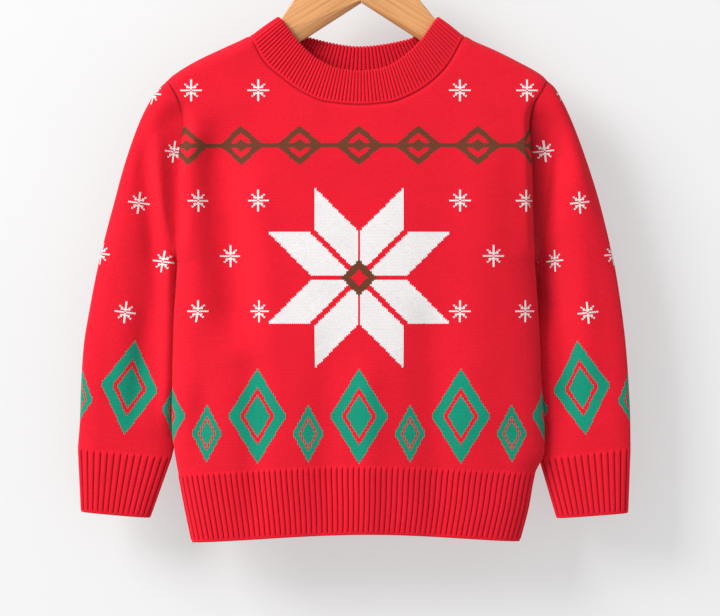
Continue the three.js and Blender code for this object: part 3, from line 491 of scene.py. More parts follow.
def add_tube(name, path, radii, sides):
    """A round tube along a path, closed at both ends."""
    ways = unit(np.gradient(path, axis=0))
    level = path[:, 1].ptp() < 1e-6
    first = unit(np.cross(ways, points(0, 1, 0)[None] if level else points(0, 0, 1)[None]))
    second = np.cross(ways, first)
    turns = 2 * np.pi * np.arange(sides) / sides
    rings = (path[:, None] + radii[:, None, None] * (
        first[:, None] * np.cos(turns)[None, :, None] + second[:, None] * np.sin(turns)[None, :, None]))
    return finish_mesh(loft_mesh(name, rings)[0])


def add_loft(name, grid):
    """A solid through closed sections, with its faces turned outwards."""
    mesh, quads = loft_mesh(name, grid)
    a, b, c = (grid.reshape(-1, 3)[quads[:, k]] for k in range(3))
    if np.sum(a * np.cross(b, c)) < 0:
        mesh.flip_normals()
    return finish_mesh(mesh)


def finish_mesh(mesh):
    mesh.validate()
    mesh.shade_smooth()
    mesh.set_sharp_from_angle(angle=math.radians(62))
    obj = bpy.data.objects.new(mesh.name, mesh)
    bpy.context.collection.objects.link(obj)
    return obj


def dress(obj, materials, replaced=()):
    """Gives a piece its materials and its place on the part, and hides the CAD parts that it replaces."""
    for material in materials:
        obj.data.materials.append(material)
    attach(obj, "root")
    if replaced:
        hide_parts(*replaced)


def closed(grid):
    """A ring's grid with its first column once more at the end."""
    return np.concatenate([grid, grid[:, :1]], axis=1)


def knit_places(wales, courses):
    """Stitch coordinates for each point of a grid, from the wales along a row and each point's course."""
    return np.stack([np.broadcast_to(wales, courses.shape), courses], axis=-1)


def cloth_area(grid, ring=False):
    """Area of a grid of points in square metres."""
    if ring:
        grid = closed(grid)
    one = np.cross(grid[1:, 1:] - grid[:-1, :-1], grid[1:, :-1] - grid[:-1, 1:])
    return float(np.sum(np.linalg.norm(one, axis=-1)) / 2) * MM * MM


# Body


def panel_columns():
    """Columns of a body panel: their parts of the hem line, and of the top line's three stretches."""
    shoulder = np.linspace(0, 1, 42) ** 1.6
    neck = np.linspace(0, 1, 93)
    over_neck = mix(neck, (1 - np.cos(np.pi * neck)) / 2, 0.75)
    corner = 0.225
    low = np.concatenate([
        shoulder * corner, mix(corner, 1 - corner, neck)[1:], (1 - shoulder[::-1] * corner)[1:]])
    return low, shoulder, over_neck


def hem_line(side, low, level):
    """A line of the hem rib: level 0 is the free edge and 1 the join with the body."""
    x = mix(side_at("left", mix(HEM["z"][0], JOIN["z"][0], level)),
            side_at("right", mix(HEM["z"][2], JOIN["z"][2], level)), low)
    at_hem = mix(HEM["x"][0], HEM["x"][2], low)
    at_join = mix(JOIN["x"][0], JOIN["x"][2], low)
    z = mix(smooth(HEM["x"], HEM["z"], at_hem), smooth(JOIN["x"], JOIN["z"], at_join), level)
    depth = half_depth(side, x, z)
    depth[[0, -1]] = 0
    return points(x, side * np.maximum(depth, SEAM / 2), z)


def panel_rows():
    """Heights of the left ends of a panel's rows, closest where the cloth bends over the shoulder."""
    below = np.linspace(JOIN["z"][0], UNDERARM, 84)
    above = np.linspace(UNDERARM, SHOULDER_TIP - TOP_ROUND, 66)[1:]
    bend = SHOULDER_TIP - TOP_ROUND * (1 - np.cos(np.linspace(np.pi / 2, 0, 12)))[1:]
    return below, np.concatenate([above, bend])


def panel_grid(side):
    """Points of a body panel's outer face, between the hem line, the sides and the shoulders."""
    low, shoulder, over_neck = panel_columns()
    left_x = mix(SHOULDER["x"][0], NECK_ENDS[0], shoulder)
    right_x = mix(NECK_ENDS[1], SHOULDER["x"][-1], 1 - shoulder[::-1])
    neck = along(NECK_SEAMS[side], over_neck)
    top = np.concatenate([
        points(left_x, 0, smooth(SHOULDER["x"], SHOULDER["z"], left_x)),
        neck[1:-1],
        points(right_x, 0, smooth(SHOULDER["x"], SHOULDER["z"], right_x)),
    ])
    neck_left, neck_right = 0.215, 0.777
    high = np.concatenate([shoulder * neck_left, mix(neck_left, neck_right, over_neck)[1:-1],
                           mix(neck_right, 1, 1 - shoulder[::-1])])
    bottom = hem_line(side, low, 1.0)
    bottom_flat = bottom * [1, 0, 1]
    below, above = panel_rows()
    left_z = np.concatenate([below, above])
    risen = (below - below[0]) / (below[-1] - below[0])
    right_z = np.concatenate([mix(JOIN["z"][2], UNDERARM, risen), above])
    v = ((left_z - left_z[0]) / (left_z[-1] - left_z[0]))[:, None]
    u = mix(low[None], high[None], v)[..., None]
    left = points(side_at("left", left_z), 0, left_z)[:, None]
    right = points(side_at("right", right_z), 0, right_z)[:, None]
    v = v[..., None]
    corners = (1 - v) * mix(bottom_flat[0], bottom_flat[-1], u) + v * mix(top[0], top[-1], u)
    grid = (1 - v) * bottom_flat[None] + v * top[None] + mix(left, right, u) - corners
    depth = dipped_depth(side, grid[..., 0], grid[..., 2])
    depth[: len(below), 0] = depth[: len(below), -1] = 0
    depth[-1, : len(shoulder)] = depth[-1, -len(shoulder) :] = 0
    grid[..., 1] = side * np.maximum(depth, SEAM / 2)
    grid[0] = bottom
    return grid, len(below) - 1, len(shoulder) - 1


def armhole_into(side, edge):
    """Ways into the wall along an armhole's edge, from the underarm up to the shoulder tip."""
    run = np.gradient(edge, axis=0)
    into = unit(points(0, -side * run[:, 2], side * run[:, 1]))
    into[0] = (0, 0, 1)
    into[-1] = (0, 0, -1)
    return into


def neck_crossing(side, parts):
    """Ways over the neck seam, from the body to the neckband's free edge."""
    return unit(along(NECK_EDGES[side], parts) - along(NECK_SEAMS[side], parts))


def stitch_places(side, grid, settings):
    """Stitch coordinates of a body panel: wales are level lengths from the middle, courses are heights."""
    x, z = grid[..., 0], grid[..., 2]
    steps = np.linspace(0, 1, 25)
    run = np.array([half_depth(side, x * t, z) for t in steps])
    across = np.sum(np.hypot(np.diff(run, axis=0), x / 24), axis=0) * np.sign(x)
    below = np.clip((shoulder_height(x) - z) * SHOULDER_COS, 0, TOP_ROUND)
    over = TOP_ROUND * (np.pi / 2 - 1) - (TOP_ROUND * np.arccos(1 - below / TOP_ROUND) - below)
    return np.stack([across * MM / settings.stitch_width, (z + over) * MM / settings.stitch_height], axis=-1)


def panel_walls(side, cloth):
    """Outer and inner faces of a body panel."""
    outer, underarm, corner = panel_grid(side)
    into = normals_of(outer, False)
    into *= np.where(into[..., 1:2] * side > 0, -1, 1)
    into[: underarm + 1, 0] = (1, 0, 0)
    into[: underarm + 1, -1] = (-1, 0, 0)
    for end in (0, -1):
        into[underarm:, end] = armhole_into(side, outer[underarm:, end])
    into[0, 1:-1] = within(into[0, 1:-1], points(0, 0, 1))
    slope = np.gradient(outer[-1], axis=0)
    down = unit(points(slope[:, 2], 0, -slope[:, 0]))
    over_neck = panel_columns()[2]
    crossing = neck_crossing(side, over_neck)
    neck = slice(corner, -corner)
    into[-1, 1:corner] = down[1:corner]
    into[-1, -corner:-1] = down[-corner:-1]
    into[-1, neck] = within(into[-1, neck], crossing)
    for end, k in ((corner, 0), (-corner - 1, -1)):
        away = points(crossing[k, 2], 0, -crossing[k, 0])
        into[-1, end] = away * np.sign(crossing[k, 0])
    inner = outer + into * cloth
    inner[..., 1] = side * np.maximum(inner[..., 1] * side, SEAM / 2)
    return outer, inner


def painted_seam_shade(side, grid):
    """Painted shade along a panel's neck seam and its armhole seams: how much darker the panel is there."""
    x, z = grid[..., 0], grid[..., 2]
    away = np.minimum(x - side_at("left", z), side_at("right", z) - x)
    end = np.where(x < 0, SEAM_SHADE_END["left"], SEAM_SHADE_END["right"])
    armhole = np.exp(-((away / SEAM_SHADE_WIDTH) ** 2)) * ease((z - end) / 28) * ease((-176 - z) / 6)
    neck = np.exp(-((neck_gap(side, x, z) / SEAM_SHADE_WIDTH) ** 2)) * ease((shoulder_height(x) - z) / 10)
    return 1.2 * np.maximum(neck, armhole)


class SWEATER_OT_body(bpy.types.Operator):
    """Front and back panels, as thin knit shells"""

    bl_idname = "sweater.add_body"
    bl_label = "Body Panels"

    def execute(self, context):
        settings = context.scene.sweater_knit
        inside = plain_knit(settings, "knit_inside", reverse=True)
        for side, name in ((FRONT, "front"), (BACK, "back")):
            outer, inner = panel_walls(side, settings.cloth / MM)
            knit = stitch_places(side, outer, settings)
            obj = add_wall(name + "_knit", outer, inner, knit)
            # Painted shade along the neck and armhole seams
            mark_painted_shade(obj, painted_seam_shade(side, outer))
            face = patterned_knit(settings, "knit_" + name, name)
            dress(obj, [face, inside], [name + "_panel"])
            cloth_area(outer)
        return {"FINISHED"}


# Ribs


def grooves_of(phase, fades):
    """Depth of the grooves between ribs, from 0 to 1: they narrow to a point where they fade."""
    off_crest = np.abs(2 * (phase % 1) - 1)[None]
    fades = np.maximum(fades, 0.02)[:, None]
    return fades * (1 - (1 - off_crest ** (3 / fades)) ** 0.6)


def mark_painted_shade(obj, grooves, rim=0, both_faces=False):
    """Keeps the painted shade of each point, for the material: deep in a rib's groove, along a seam or beside
    the body. The rim is the lip's rows.
    """
    inner = grooves[::-1] if both_faces else np.zeros_like(grooves)
    depth = np.concatenate([grooves, np.repeat(grooves[-1:], rim, axis=0), inner])
    values = obj.data.attributes.new("groove", "FLOAT", "POINT").data
    values.foreach_set("value", depth.ravel().astype(np.float32))


def rib_levels(first, near_first, near_last, last):
    """Rows of a ribbed wall from one end to the other, closest at both ends."""
    return np.concatenate([
        np.linspace(first, near_first, 8), np.linspace(near_first, near_last, 14)[1:],
        np.linspace(near_last, last, 7)[1:]])


def ribbed_walls(lines, ribs, fades, ring, start=0.0, high=0.5, low=1.1):
    """Faces of a ribbed wall over plain lines of points: ribs fade out at its ends."""
    count = ribs * RIB_POINTS
    parts = np.arange(count if ring else count + 1) / count
    lines = closed(np.array(lines)) if ring else lines
    plain = np.array([resample(line, parts) for line in lines])
    out = normals_of(plain, ring)
    if ring:
        flip = np.sum(out * (plain - plain.mean(axis=1, keepdims=True))) < 0
    else:
        flip = np.sum(out[..., 1] * plain[..., 1]) < 0
    out = -out if flip else out
    grooves = grooves_of(parts * ribs + start, fades)
    rise = high * fades[:, None] - (high + low) * grooves
    return plain, out, rise[..., None], grooves, parts


class SWEATER_OT_hem(bpy.types.Operator):
    """Ribbed hem, front and back"""

    bl_idname = "sweater.add_hem"
    bl_label = "Hem Ribs"

    def execute(self, context):
        settings = context.scene.sweater_knit
        levels = rib_levels(1, 0.92, 0.05, 0)
        fades = ease((1 - levels) / 0.07) * ease((levels - 0.004) / 0.036)
        low = panel_columns()[0]
        wall = settings.rib_wall / MM
        knit_face = rib_knit(settings, "rib_knit")
        inside = plain_knit(settings, "rib_inside", reverse=True)
        for side, name in ((FRONT, "front"), (BACK, "back")):
            lines = [hem_line(side, low, level) for level in levels]
            plain, out, rise, grooves, parts = ribbed_walls(lines, BODY_RIBS, fades, False, start=0.5)
            out[:, 0] = (-1, 0, 0)
            out[:, -1] = (1, 0, 0)
            out[0, 1:-1] = within(out[0, 1:-1], points(0, 0, 1))
            outer = plain + out * rise
            inner = plain - out * wall
            for grid in (outer, inner):
                grid[..., 1] = side * np.maximum(grid[..., 1] * side, SEAM / 2)
            heights = plain[..., 2] * MM / settings.stitch_height
            knit = knit_places(parts * BODY_RIBS * 3, heights)
            obj = add_wall("hem_" + name + "_ribs", outer, inner, knit, lip=3)
            # Painted shade in the grooves between the ribs
            mark_painted_shade(obj, grooves, rim=3)
            dress(obj, [knit_face, inside], ["hem_rib_" + name])
            cloth_area(plain)
        return {"FINISHED"}


# Sleeves


def section_table(name, at):
    """Outer and inner edges of a sleeve's sections, at section numbers that may lie between rows."""
    rows = np.array(SLEEVES[name], float)
    number = np.arange(len(rows))
    edges = [[smooth(number, rows[:, e, k], at) for k in range(3)] for e in range(2)]
    return [np.stack(edge, axis=-1) for edge in edges]


def ring_parts(count):
    """Parts of the way across a flat tube, all round from its outer edge, and each one's side."""
    turns = 2 * np.pi * np.arange(count) / count
    return (1 - np.cos(turns)) / 2, np.where(np.arange(count) < count / 2, FRONT, BACK)


def tube_depth(part, width, edge, middle):
    """Half depth of a flat tube, by part of the way across it."""
    near = np.minimum(part, 1 - part) * width
    return edge * rounded(near / SLEEVE_ROUND) + (middle - edge) * (1 - (2 * part - 1) ** 2)


def armhole_ring(name, part, sides):
    """Points of an armhole for each point of a sleeve's ring, and the ways into the wall."""
    top, low = (np.array(edge, float) for edge in SLEEVES[name][0])
    z = top[2] + part * (low[2] - top[2])
    x = side_at(name, z)
    roots = points(x, 0, z)
    for side in (FRONT, BACK):
        here = sides == side
        depth = half_depth(side, x[here], z[here])
        roots[here, 1] = side * np.maximum(depth, 0)
    ends = (part < 1e-9) | (part > 1 - 1e-9)
    roots[ends, 1] = 0
    run = np.roll(roots, -1, axis=0) - np.roll(roots, 1, axis=0)
    into = unit(points(0, -run[:, 2], run[:, 1]))
    into *= np.where(into[:, 1] * sides > 0, -1, 1)[:, None]
    into[part < 1e-9] = (0, 0, -1)
    into[part > 1 - 1e-9] = (0, 0, 1)
    return roots, into


def sleeve_grid(name):
    """Outer face of a sleeve from the armhole to the cuff, with the armhole's ways into the wall."""
    part, sides = ring_parts(SLEEVE_ROUND_POINTS)
    roots, root_into = armhole_ring(name, part, sides)
    at = SLEEVE_SECTIONS
    last = len(SLEEVES[name]) - 1
    o, i = section_table(name, at)
    chord = i - o
    width = np.linalg.norm(chord, axis=-1)[:, None]
    thick_way = within(np.broadcast_to([0.0, 1.0, 0.0], chord.shape), chord)
    edge = smooth(SLEEVE_THICK["row"], SLEEVE_THICK["edge"], at)[:, None]
    middle = smooth(SLEEVE_THICK["row"], SLEEVE_THICK["middle"], at)[:, None]
    full = tube_depth(part[None], width, edge, middle)
    grown = (1 - (1 - np.clip(at / 3, 0, 1)) ** 2)[:, None]
    grid = o[:, None] + chord[:, None] * part[None, :, None]
    straight = mix(o[0, 0], i[0, 0], part)
    grid[..., 0] += (roots[:, 0] - straight)[None] * (1 - grown)
    near = np.minimum(part, 1 - part)[None] * width
    folds = np.zeros(full.shape)
    for side in (FRONT, BACK):
        here = sides == side
        folds[:, here] = fold_height(SLEEVE_FOLDS, side, grid[:, here, 0], grid[:, here, 2])
    folds *= grown * ease(near / 10) * ease((last - at) / 2)[:, None]
    risen = ease(at / SLEEVE_RISE[name])[:, None]
    least = np.minimum(full, LEAST_OPEN) * np.minimum(3 * risen, 1)
    thick = mix(np.abs(roots[:, 1])[None], full, risen) + folds
    thick = (thick + least + np.hypot(thick - least, least / 2)) / 2
    grid += thick_way[:, None] * (thick * sides[None])[..., None]
    grid[0, :, 0] += math.copysign(SEAM, o[0, 0])
    return grid, root_into


def nearest_middle(name, at, grid, low=0.08):
    """The nearest place on the middle of each section, kept off its ends."""
    o, i = section_table(name, at)
    chord = (i - o)[:, None]
    along_chord = np.sum((grid - o[:, None]) * chord, axis=-1, keepdims=True)
    t = along_chord / np.sum(chord * chord, axis=-1, keepdims=True)
    return o[:, None] + chord * np.clip(t, low, 1 - low)


def sleeve_stitches(name, grid, settings):
    """Stitch coordinates of a sleeve: wales run along it.

    The back mirrors the front at the cuff's edge."""
    o, i = section_table(name, np.array([5.0, 13.0]))
    middles = (o + i) / 2
    axis = unit((middles[0] - middles[1]) * [1, 0, 1])
    crossing = np.array([axis[2], 0, -axis[0]])
    start = middles[1]
    course = np.sum((grid - start) * axis, axis=-1)
    wide = np.sum((grid - start) * crossing, axis=-1)
    steps = np.diff(closed(grid), axis=1)
    across = np.sum(steps * crossing, axis=-1)
    turning = np.cumsum(np.hypot(across, steps[..., 1]) - np.abs(across), axis=1)
    turned = np.concatenate([np.zeros((len(grid), 1)), turning], axis=1)
    wide = closed(wide)
    way = 1.0 if name == "left" else -1.0
    front = wide + way * turned
    back = 2 * wide[-1, 0] - wide - way * (turned[:, -1:] - turned)
    wales = np.where(np.arange(wide.shape[1]) <= grid.shape[1] // 2, front, back) * way
    courses = closed(course) * MM / settings.stitch_height
    return np.stack([wales * MM / settings.stitch_width, courses], axis=-1)


class SWEATER_OT_sleeves(bpy.types.Operator):
    """Both sleeves, from the armholes to the cuffs"""

    bl_idname = "sweater.add_sleeves"
    bl_label = "Sleeves"

    def execute(self, context):
        settings = context.scene.sweater_knit
        cloth = settings.cloth / MM
        face = patterned_knit(settings, "knit_sleeve", "sleeve")
        inside = plain_knit(settings, "sleeve_inside", reverse=True)
        for name in ("left", "right"):
            outer, root_into = sleeve_grid(name)
            into = normals_of(outer, True)
            inwards = nearest_middle(name, SLEEVE_SECTIONS, outer) - outer
            into *= np.where(np.sum(into * inwards, axis=-1, keepdims=True) < 0, -1, 1)
            into[0] = root_into
            o, i = section_table(name, SLEEVE_SECTIONS[-1:])
            thick_way = within(np.array([0.0, 1.0, 0.0]), (i - o)[0])
            into[-1] = within(into[-1], np.cross(thick_way, (i - o)[0]))
            inner = outer + into * cloth
            knit = sleeve_stitches(name, outer, settings)
            obj = add_wall("sleeve_" + name + "_knit", outer, inner, knit, ring=True)
            # Painted shade along the armhole seam
            gap = np.linalg.norm(outer - outer[:1], axis=-1)
            z = outer[..., 2]
            line = 1.2 * np.exp(-((gap / SEAM_SHADE_WIDTH) ** 2)) * ease((z - SEAM_SHADE_END[name]) / 28)
            # Painted shade on the front half beside the body, where the sleeve turns in behind it
            dark, wide, end = PAINTED_GULLY_SHADE[name]
            away = np.maximum(np.abs(outer[..., 0]) - np.abs(side_at(name, z)), 0)
            shade = dark * np.exp(-((away / wide) ** 2)) * ease((-192 - z) / 35) * ease((z - end) / 60)
            shade *= ring_parts(SLEEVE_ROUND_POINTS)[1] == FRONT
            mark_painted_shade(obj, np.maximum(line, shade))
            dress(obj, [face, inside], ["sleeve_" + name])
            cloth_area(outer, True)
        return {"FINISHED"}


def cuff_lines(name, levels):
    """Plain lines round a cuff, from the sleeve's last section to the cuff's end."""
    part, sides = ring_parts(SLEEVE_ROUND_POINTS)
    start = sleeve_grid(name)[0][-1]
    o, i = (np.array(edge, float) for edge in CUFF_ENDS[name])
    chord = i - o
    thick_way = within(np.array([0.0, 1.0, 0.0]), chord)
    depth = tube_depth(part, np.linalg.norm(chord), CUFF_THICK["edge"], CUFF_THICK["middle"])
    end = o + chord * part[:, None] + thick_way * (depth * sides)[:, None]
    return [mix(start, end, level) for level in levels]


class SWEATER_OT_cuffs(bpy.types.Operator):
    """Ribbed cuffs"""

    bl_idname = "sweater.add_cuffs"
    bl_label = "Cuffs"

    def execute(self, context):
        settings = context.scene.sweater_knit
        wall = settings.rib_wall / MM
        levels = rib_levels(0, 0.09, 0.95, 1)
        fades = ease(levels / 0.07) * ease((0.996 - levels) / 0.036)
        face = bpy.data.materials["rib_knit"]
        inside = bpy.data.materials["rib_inside"]
        for name in ("left", "right"):
            lines = cuff_lines(name, levels)
            plain, out, rise, grooves, parts = ribbed_walls(lines, CUFF_RIBS, fades, True)
            outer = plain + out * rise
            inner = plain - out * wall
            heights = closed(plain[..., 2] * MM / settings.stitch_height)
            knit = knit_places(np.append(parts, 1) * CUFF_RIBS * 3 + 0.5, heights)
            obj = add_wall("cuff_" + name + "_ribs", outer, inner, knit, ring=True, lip=3)
            # Painted shade in the grooves between the ribs
            mark_painted_shade(obj, grooves, rim=3)
            dress(obj, [face, inside], ["cuff_" + name])
            cloth_area(plain, True)
        return {"FINISHED"}


# Neckband


def band_half(side, parts):
    """Seam and free edge of half a neckband."""
    seam = along(NECK_SEAMS[side], parts)
    seam[:, 1] = side * dipped_depth(side, seam[:, 0], seam[:, 2])
    seam[[0, -1], 1] = 0
    edge = along(NECK_EDGES[side], parts)
    length = lengths_along(edge)
    near = np.minimum(length, length[-1] - length)
    depth = smooth(EDGE_DEPTH["part"], EDGE_DEPTH[side], parts)
    edge[:, 1] = side * depth * rounded(near / TOP_ROUND)
    return seam + neck_crossing(side, parts) * NECK_SEAM, edge


class SWEATER_OT_neckband(bpy.types.Operator):
    """Neckband of narrow rib, folded double"""

    bl_idname = "sweater.add_neckband"
    bl_label = "Neckband"

    def execute(self, context):
        settings = context.scene.sweater_knit
        halves = []
        for side in (FRONT, BACK):
            count = BAND_RIBS[side] * BAND_RIB_POINTS
            halves.append(band_half(side, np.arange(count + 1) / count))
        (front_seam, front_edge), (back_seam, back_edge) = halves
        seam = np.concatenate([front_seam, back_seam[::-1][1:-1]])
        edge = np.concatenate([front_edge, back_edge[::-1][1:-1]])
        levels = np.concatenate([[0, 0.008, 0.02, 0.035, 0.06, 0.09, 0.13, 0.18], np.linspace(0.25, 1, 11)])
        plain = seam[None] + (edge - seam)[None] * levels[:, None, None]
        out = normals_of(plain, True)
        middle = points(plain[..., 0] * 0.2, 0, plain[..., 2])
        out *= np.where(np.sum(out * (plain - middle), axis=-1, keepdims=True) < 0, -1, 1)
        swell = BAND_SWELL * np.sin(np.pi * (0.1 + 0.8 * levels))
        grooves = grooves_of(np.arange(len(seam)) / BAND_RIB_POINTS, ease((levels - 0.03) / 0.07))
        sunk = 1.2 * ease((shoulder_height(seam[:, 0]) - seam[:, 2]) / 10)
        rise = swell[:, None] + 0.3 - (1 - rounded(levels / 0.05))[:, None] * sunk - 1.2 * grooves
        wall = settings.band_wall / MM
        outer = plain + out * rise[..., None]
        inner = plain - out * (wall + rise - 2 * swell[:, None])[..., None]
        length = np.linalg.norm(edge - seam, axis=-1)[None] * levels[:, None] * MM / settings.stitch_height
        wales = np.arange(len(seam) + 1) / BAND_RIB_POINTS * 2 + 0.5
        knit = knit_places(wales, closed(length))
        obj = add_wall("neckband_ribs", outer, inner, knit, ring=True, lip=5)
        # Painted shade in the grooves between the ribs, on both faces
        mark_painted_shade(obj, grooves, rim=5, both_faces=True)
        faces = [rib_knit(settings, "band_knit"), rib_knit(settings, "band_inside")]
        dress(obj, faces, ["neckband"])
        cloth_area(plain, True)
        return {"FINISHED"}


# Seams


class SWEATER_OT_seams(bpy.types.Operator):
    """Linked seams round the neck and the armholes, over the shoulders and down the sides"""

    bl_idname = "sweater.add_seams"
    bl_label = "Seams"

    def execute(self, context):
        settings = context.scene.sweater_knit
        yarn = plain_knit(settings, "seam_yarn", reverse=False)
        pitch = settings.stitch_width / MM
        paths = {}
        for side, name in ((FRONT, "front"), (BACK, "back")):
            parts = np.linspace(0.004, 0.996, 400)
            seam = along(NECK_SEAMS[side], parts)
            depth = np.maximum(dipped_depth(side, seam[:, 0], seam[:, 2]), 1.0) - 1.0
            seam[:, 1] = side * depth
            paths["neck_" + name] = seam + neck_crossing(side, parts) * (NECK_SEAM / 2)
        for name in ("left", "right"):
            part, sides = ring_parts(240)
            roots, into = armhole_ring(name, part, sides)
            paths["armhole_" + name] = (roots + into * 1.4)[3:-3]
        shoulders = {
            "left": (SHOULDER["x"][0] + 3, NECK_ENDS[0] - 2),
            "right": (NECK_ENDS[1] + 2, SHOULDER["x"][-1] - 3),
        }
        for name, ends in shoulders.items():
            x = np.linspace(*ends, 120)
            paths["shoulder_" + name] = points(x, 0, smooth(SHOULDER["x"], SHOULDER["z"], x) - 1.3)
            z = np.linspace(JOIN["z"][0] + 2, UNDERARM - 3, 260)
            paths["side_" + name] = points(side_at(name, z) - math.copysign(1.3, ends[0]), 0, z)
        for name, path in paths.items():
            length = lengths_along(path)[-1]
            count = int(length / pitch * 6)
            line = resample(path, np.linspace(0, 1, count))
            loops = np.cos(2 * np.pi * np.arange(count) / 6)
            obj = add_tube("seam_" + name, line, 0.62 + 0.16 * loops, sides=6)
            dress(obj, [yarn])
        return {"FINISHED"}


# Hanger


def rounded_outline(corners, x):
    """Points round a section whose corners are (y, z, radius), for each x along an arm."""
    flat = points(x, 0, 0) * 0
    for k, (y, z, radius) in enumerate(corners):
        here = points(0, y, z) + flat
        before, after = (points(0, *corners[n % len(corners)][:2]) + flat for n in (k - 1, k + 1))
        to_before, to_after = unit(before - here), unit(after - here)
        turn = np.arccos(np.clip(np.sum(to_before * to_after, axis=-1, keepdims=True), -1, 1))
        reach = radius / np.tan(turn / 2)
        for t in np.linspace(0, 1, 6):
            bent = ((here + to_before * reach) * (1 - t) ** 2 + here * 2 * t * (1 - t)
                    + (here + to_after * reach) * t**2)
            yield bent[:, 1], bent[:, 2]


class SWEATER_OT_hanger(bpy.types.Operator):
    """Wooden arms and the wire hook with its flange"""

    bl_idname = "sweater.add_hanger"
    bl_label = "Hanger"

    def execute(self, context):
        settings = context.scene.sweater_hanger
        wood = beech(settings)
        tip = 136 + 12.2 * np.sin(np.linspace(0, np.pi / 2, 12))
        x = np.concatenate([np.linspace(0.15, 136, 80), tip[1:]])
        half = HANGER_HALF - TIP_THINNER * ease((x - 142) / 6.2)
        for name, out in (("left", -1), ("right", 1)):
            mitre = ease((25 - x) / 25)
            lean_low = LEAN["low"] * out * (ease((90 - x) / 25) - mitre)
            lean_high = LEAN["high"] * min(out, 0) * ease((70 - x) / 20)
            low = smooth(ARM["x"], ARM["low"], x - lean_low)
            high = smooth(ARM["x"], ARM["high"], x + lean_high)
            bevel = np.minimum(BEVEL["least"] + BEVEL[name] * np.minimum(x, 62), (high - low) * 0.5)
            end = ease((146 - x) / 20)
            corners = [
                (half, high, EDGE_ROUND), (half, low + bevel, 0.2),
                (half - BEVEL["deep"] * end, low, EDGE_ROUND)]
            front = [(-y, z, radius) for y, z, radius in corners]
            rings = [points(x * out + LEAN["low"] * mitre * (high - z) / (high - low), y, z)
                     for y, z in rounded_outline(front + corners[::-1], x)]
            obj = add_loft("hanger_" + name + "_wood", np.array(rings).transpose(1, 0, 2))
            dress(obj, [wood], ["hanger_arm_" + name])
        self.add_hook(settings)
        return {"FINISHED"}

    def add_hook(self, settings):
        wire = settings.wire / MM
        centre = wire - HOOK_ROUND
        join, finish = (math.radians(degrees) for degrees in HOOK_TURN)
        arc = np.linspace(join, finish, 90)[1:]
        meet = np.array([HOOK_ROUND * math.cos(join), 0, centre + HOOK_ROUND * math.sin(join)])
        way = np.array([math.sin(-join), 0, math.cos(join)])
        t = np.linspace(0, 1, 30)[:, None]
        ends = [
            np.array([0, 0, STEM_TOP]), np.array([0, 0, STEM_TOP + HOOK_EASE]), meet - way * HOOK_EASE, meet]
        bend = (ends[0] * (1 - t) ** 3 + ends[1] * 3 * t * (1 - t) ** 2
                + ends[2] * 3 * t**2 * (1 - t) + ends[3] * t**3)
        foot = BOARD_TOP + NECK_SEAM
        stem = points(0, 0, foot + np.array(FLANGE_RISE))
        stem_radii = np.array(FLANGE_RADIUS + [wire] * 3)
        tip = points(HOOK_ROUND * np.cos(arc), 0, centre + HOOK_ROUND * np.sin(arc))
        last = unit(tip[-1] - tip[-2])
        end = np.array([tip[-1] + last * d for d in (0.6, 1.1, 1.4)])
        path = np.concatenate([stem, bend, tip, end])
        even = np.full(len(bend) + len(tip), wire)
        radii = np.concatenate([stem_radii, even, wire * np.array([0.92, 0.72, 0.45])])
        obj = add_tube("hook_wire", path, radii, sides=24)
        dress(obj, [bright_steel()], ["hook"])


# Shader sums


class Value:
    """A shader socket that can be used in sums: each step adds a Math node."""

    def __init__(self, tree, socket):
        self.tree = tree
        self.socket = socket

    def step(self, operation, *others):
        node = self.tree.nodes.new("ShaderNodeMath")
        node.operation = operation
        self.tree.links.new(self.socket, node.inputs[0])
        for k, other in enumerate(others, start=1):
            if isinstance(other, Value):
                self.tree.links.new(other.socket, node.inputs[k])
            else:
                node.inputs[k].default_value = other
        return Value(self.tree, node.outputs[0])

    def __add__(self, other):
        return self.step("ADD", other)

    def __sub__(self, other):
        return self.step("SUBTRACT", other)

    def __mul__(self, other):
        return self.step("MULTIPLY", other)

    def __truediv__(self, other):
        return self.step("DIVIDE", other)

    def __abs__(self):
        return self.step("ABSOLUTE")

    def __pow__(self, other):
        return self.step("POWER", other)

    def floor(self):
        return self.step("FLOOR")

    def fract(self):
        return self.step("FRACT")

    def over(self, other):
        """1 where this is more than the other, and 0 elsewhere."""
        return self.step("GREATER_THAN", other)

    def under(self, other):
        return self.step("LESS_THAN", other)

    def lower(self, other):
        return self.step("MINIMUM", other)

    def higher(self, other):
        return self.step("MAXIMUM", other)

    def wrap(self, half):
        """Carried round into the range from less half to half."""
        return self.step("WRAP", half, half * -1.0)

    def flipped(self):
        """1 less this."""
        return self.step("MULTIPLY_ADD", -1.0, 1.0)


def noise(tree, scale, detail=2, place=None, rough=0.5):
    """Noise over the object's own coordinates, or over another vector."""
    node = tree.nodes.new("ShaderNodeTexNoise")
    for title, value in (("Scale", scale), ("Detail", detail), ("Roughness", rough)):
        node.inputs[title].default_value = value
    if place is None:
        place = tree.nodes.new("ShaderNodeTexCoord").outputs["Object"]
    tree.links.new(place, node.inputs["Vector"])
    return Value(tree, node.outputs[0])


def scaled(tree, tint, by):
    """A colour made lighter or darker."""
    node = tree.nodes.new("ShaderNodeVectorMath")
    node.operation = "SCALE"
    tree.links.new(tint.socket, node.inputs[0])
    tree.links.new(by.socket, node.inputs["Scale"])
    return Value(tree, node.outputs[0])


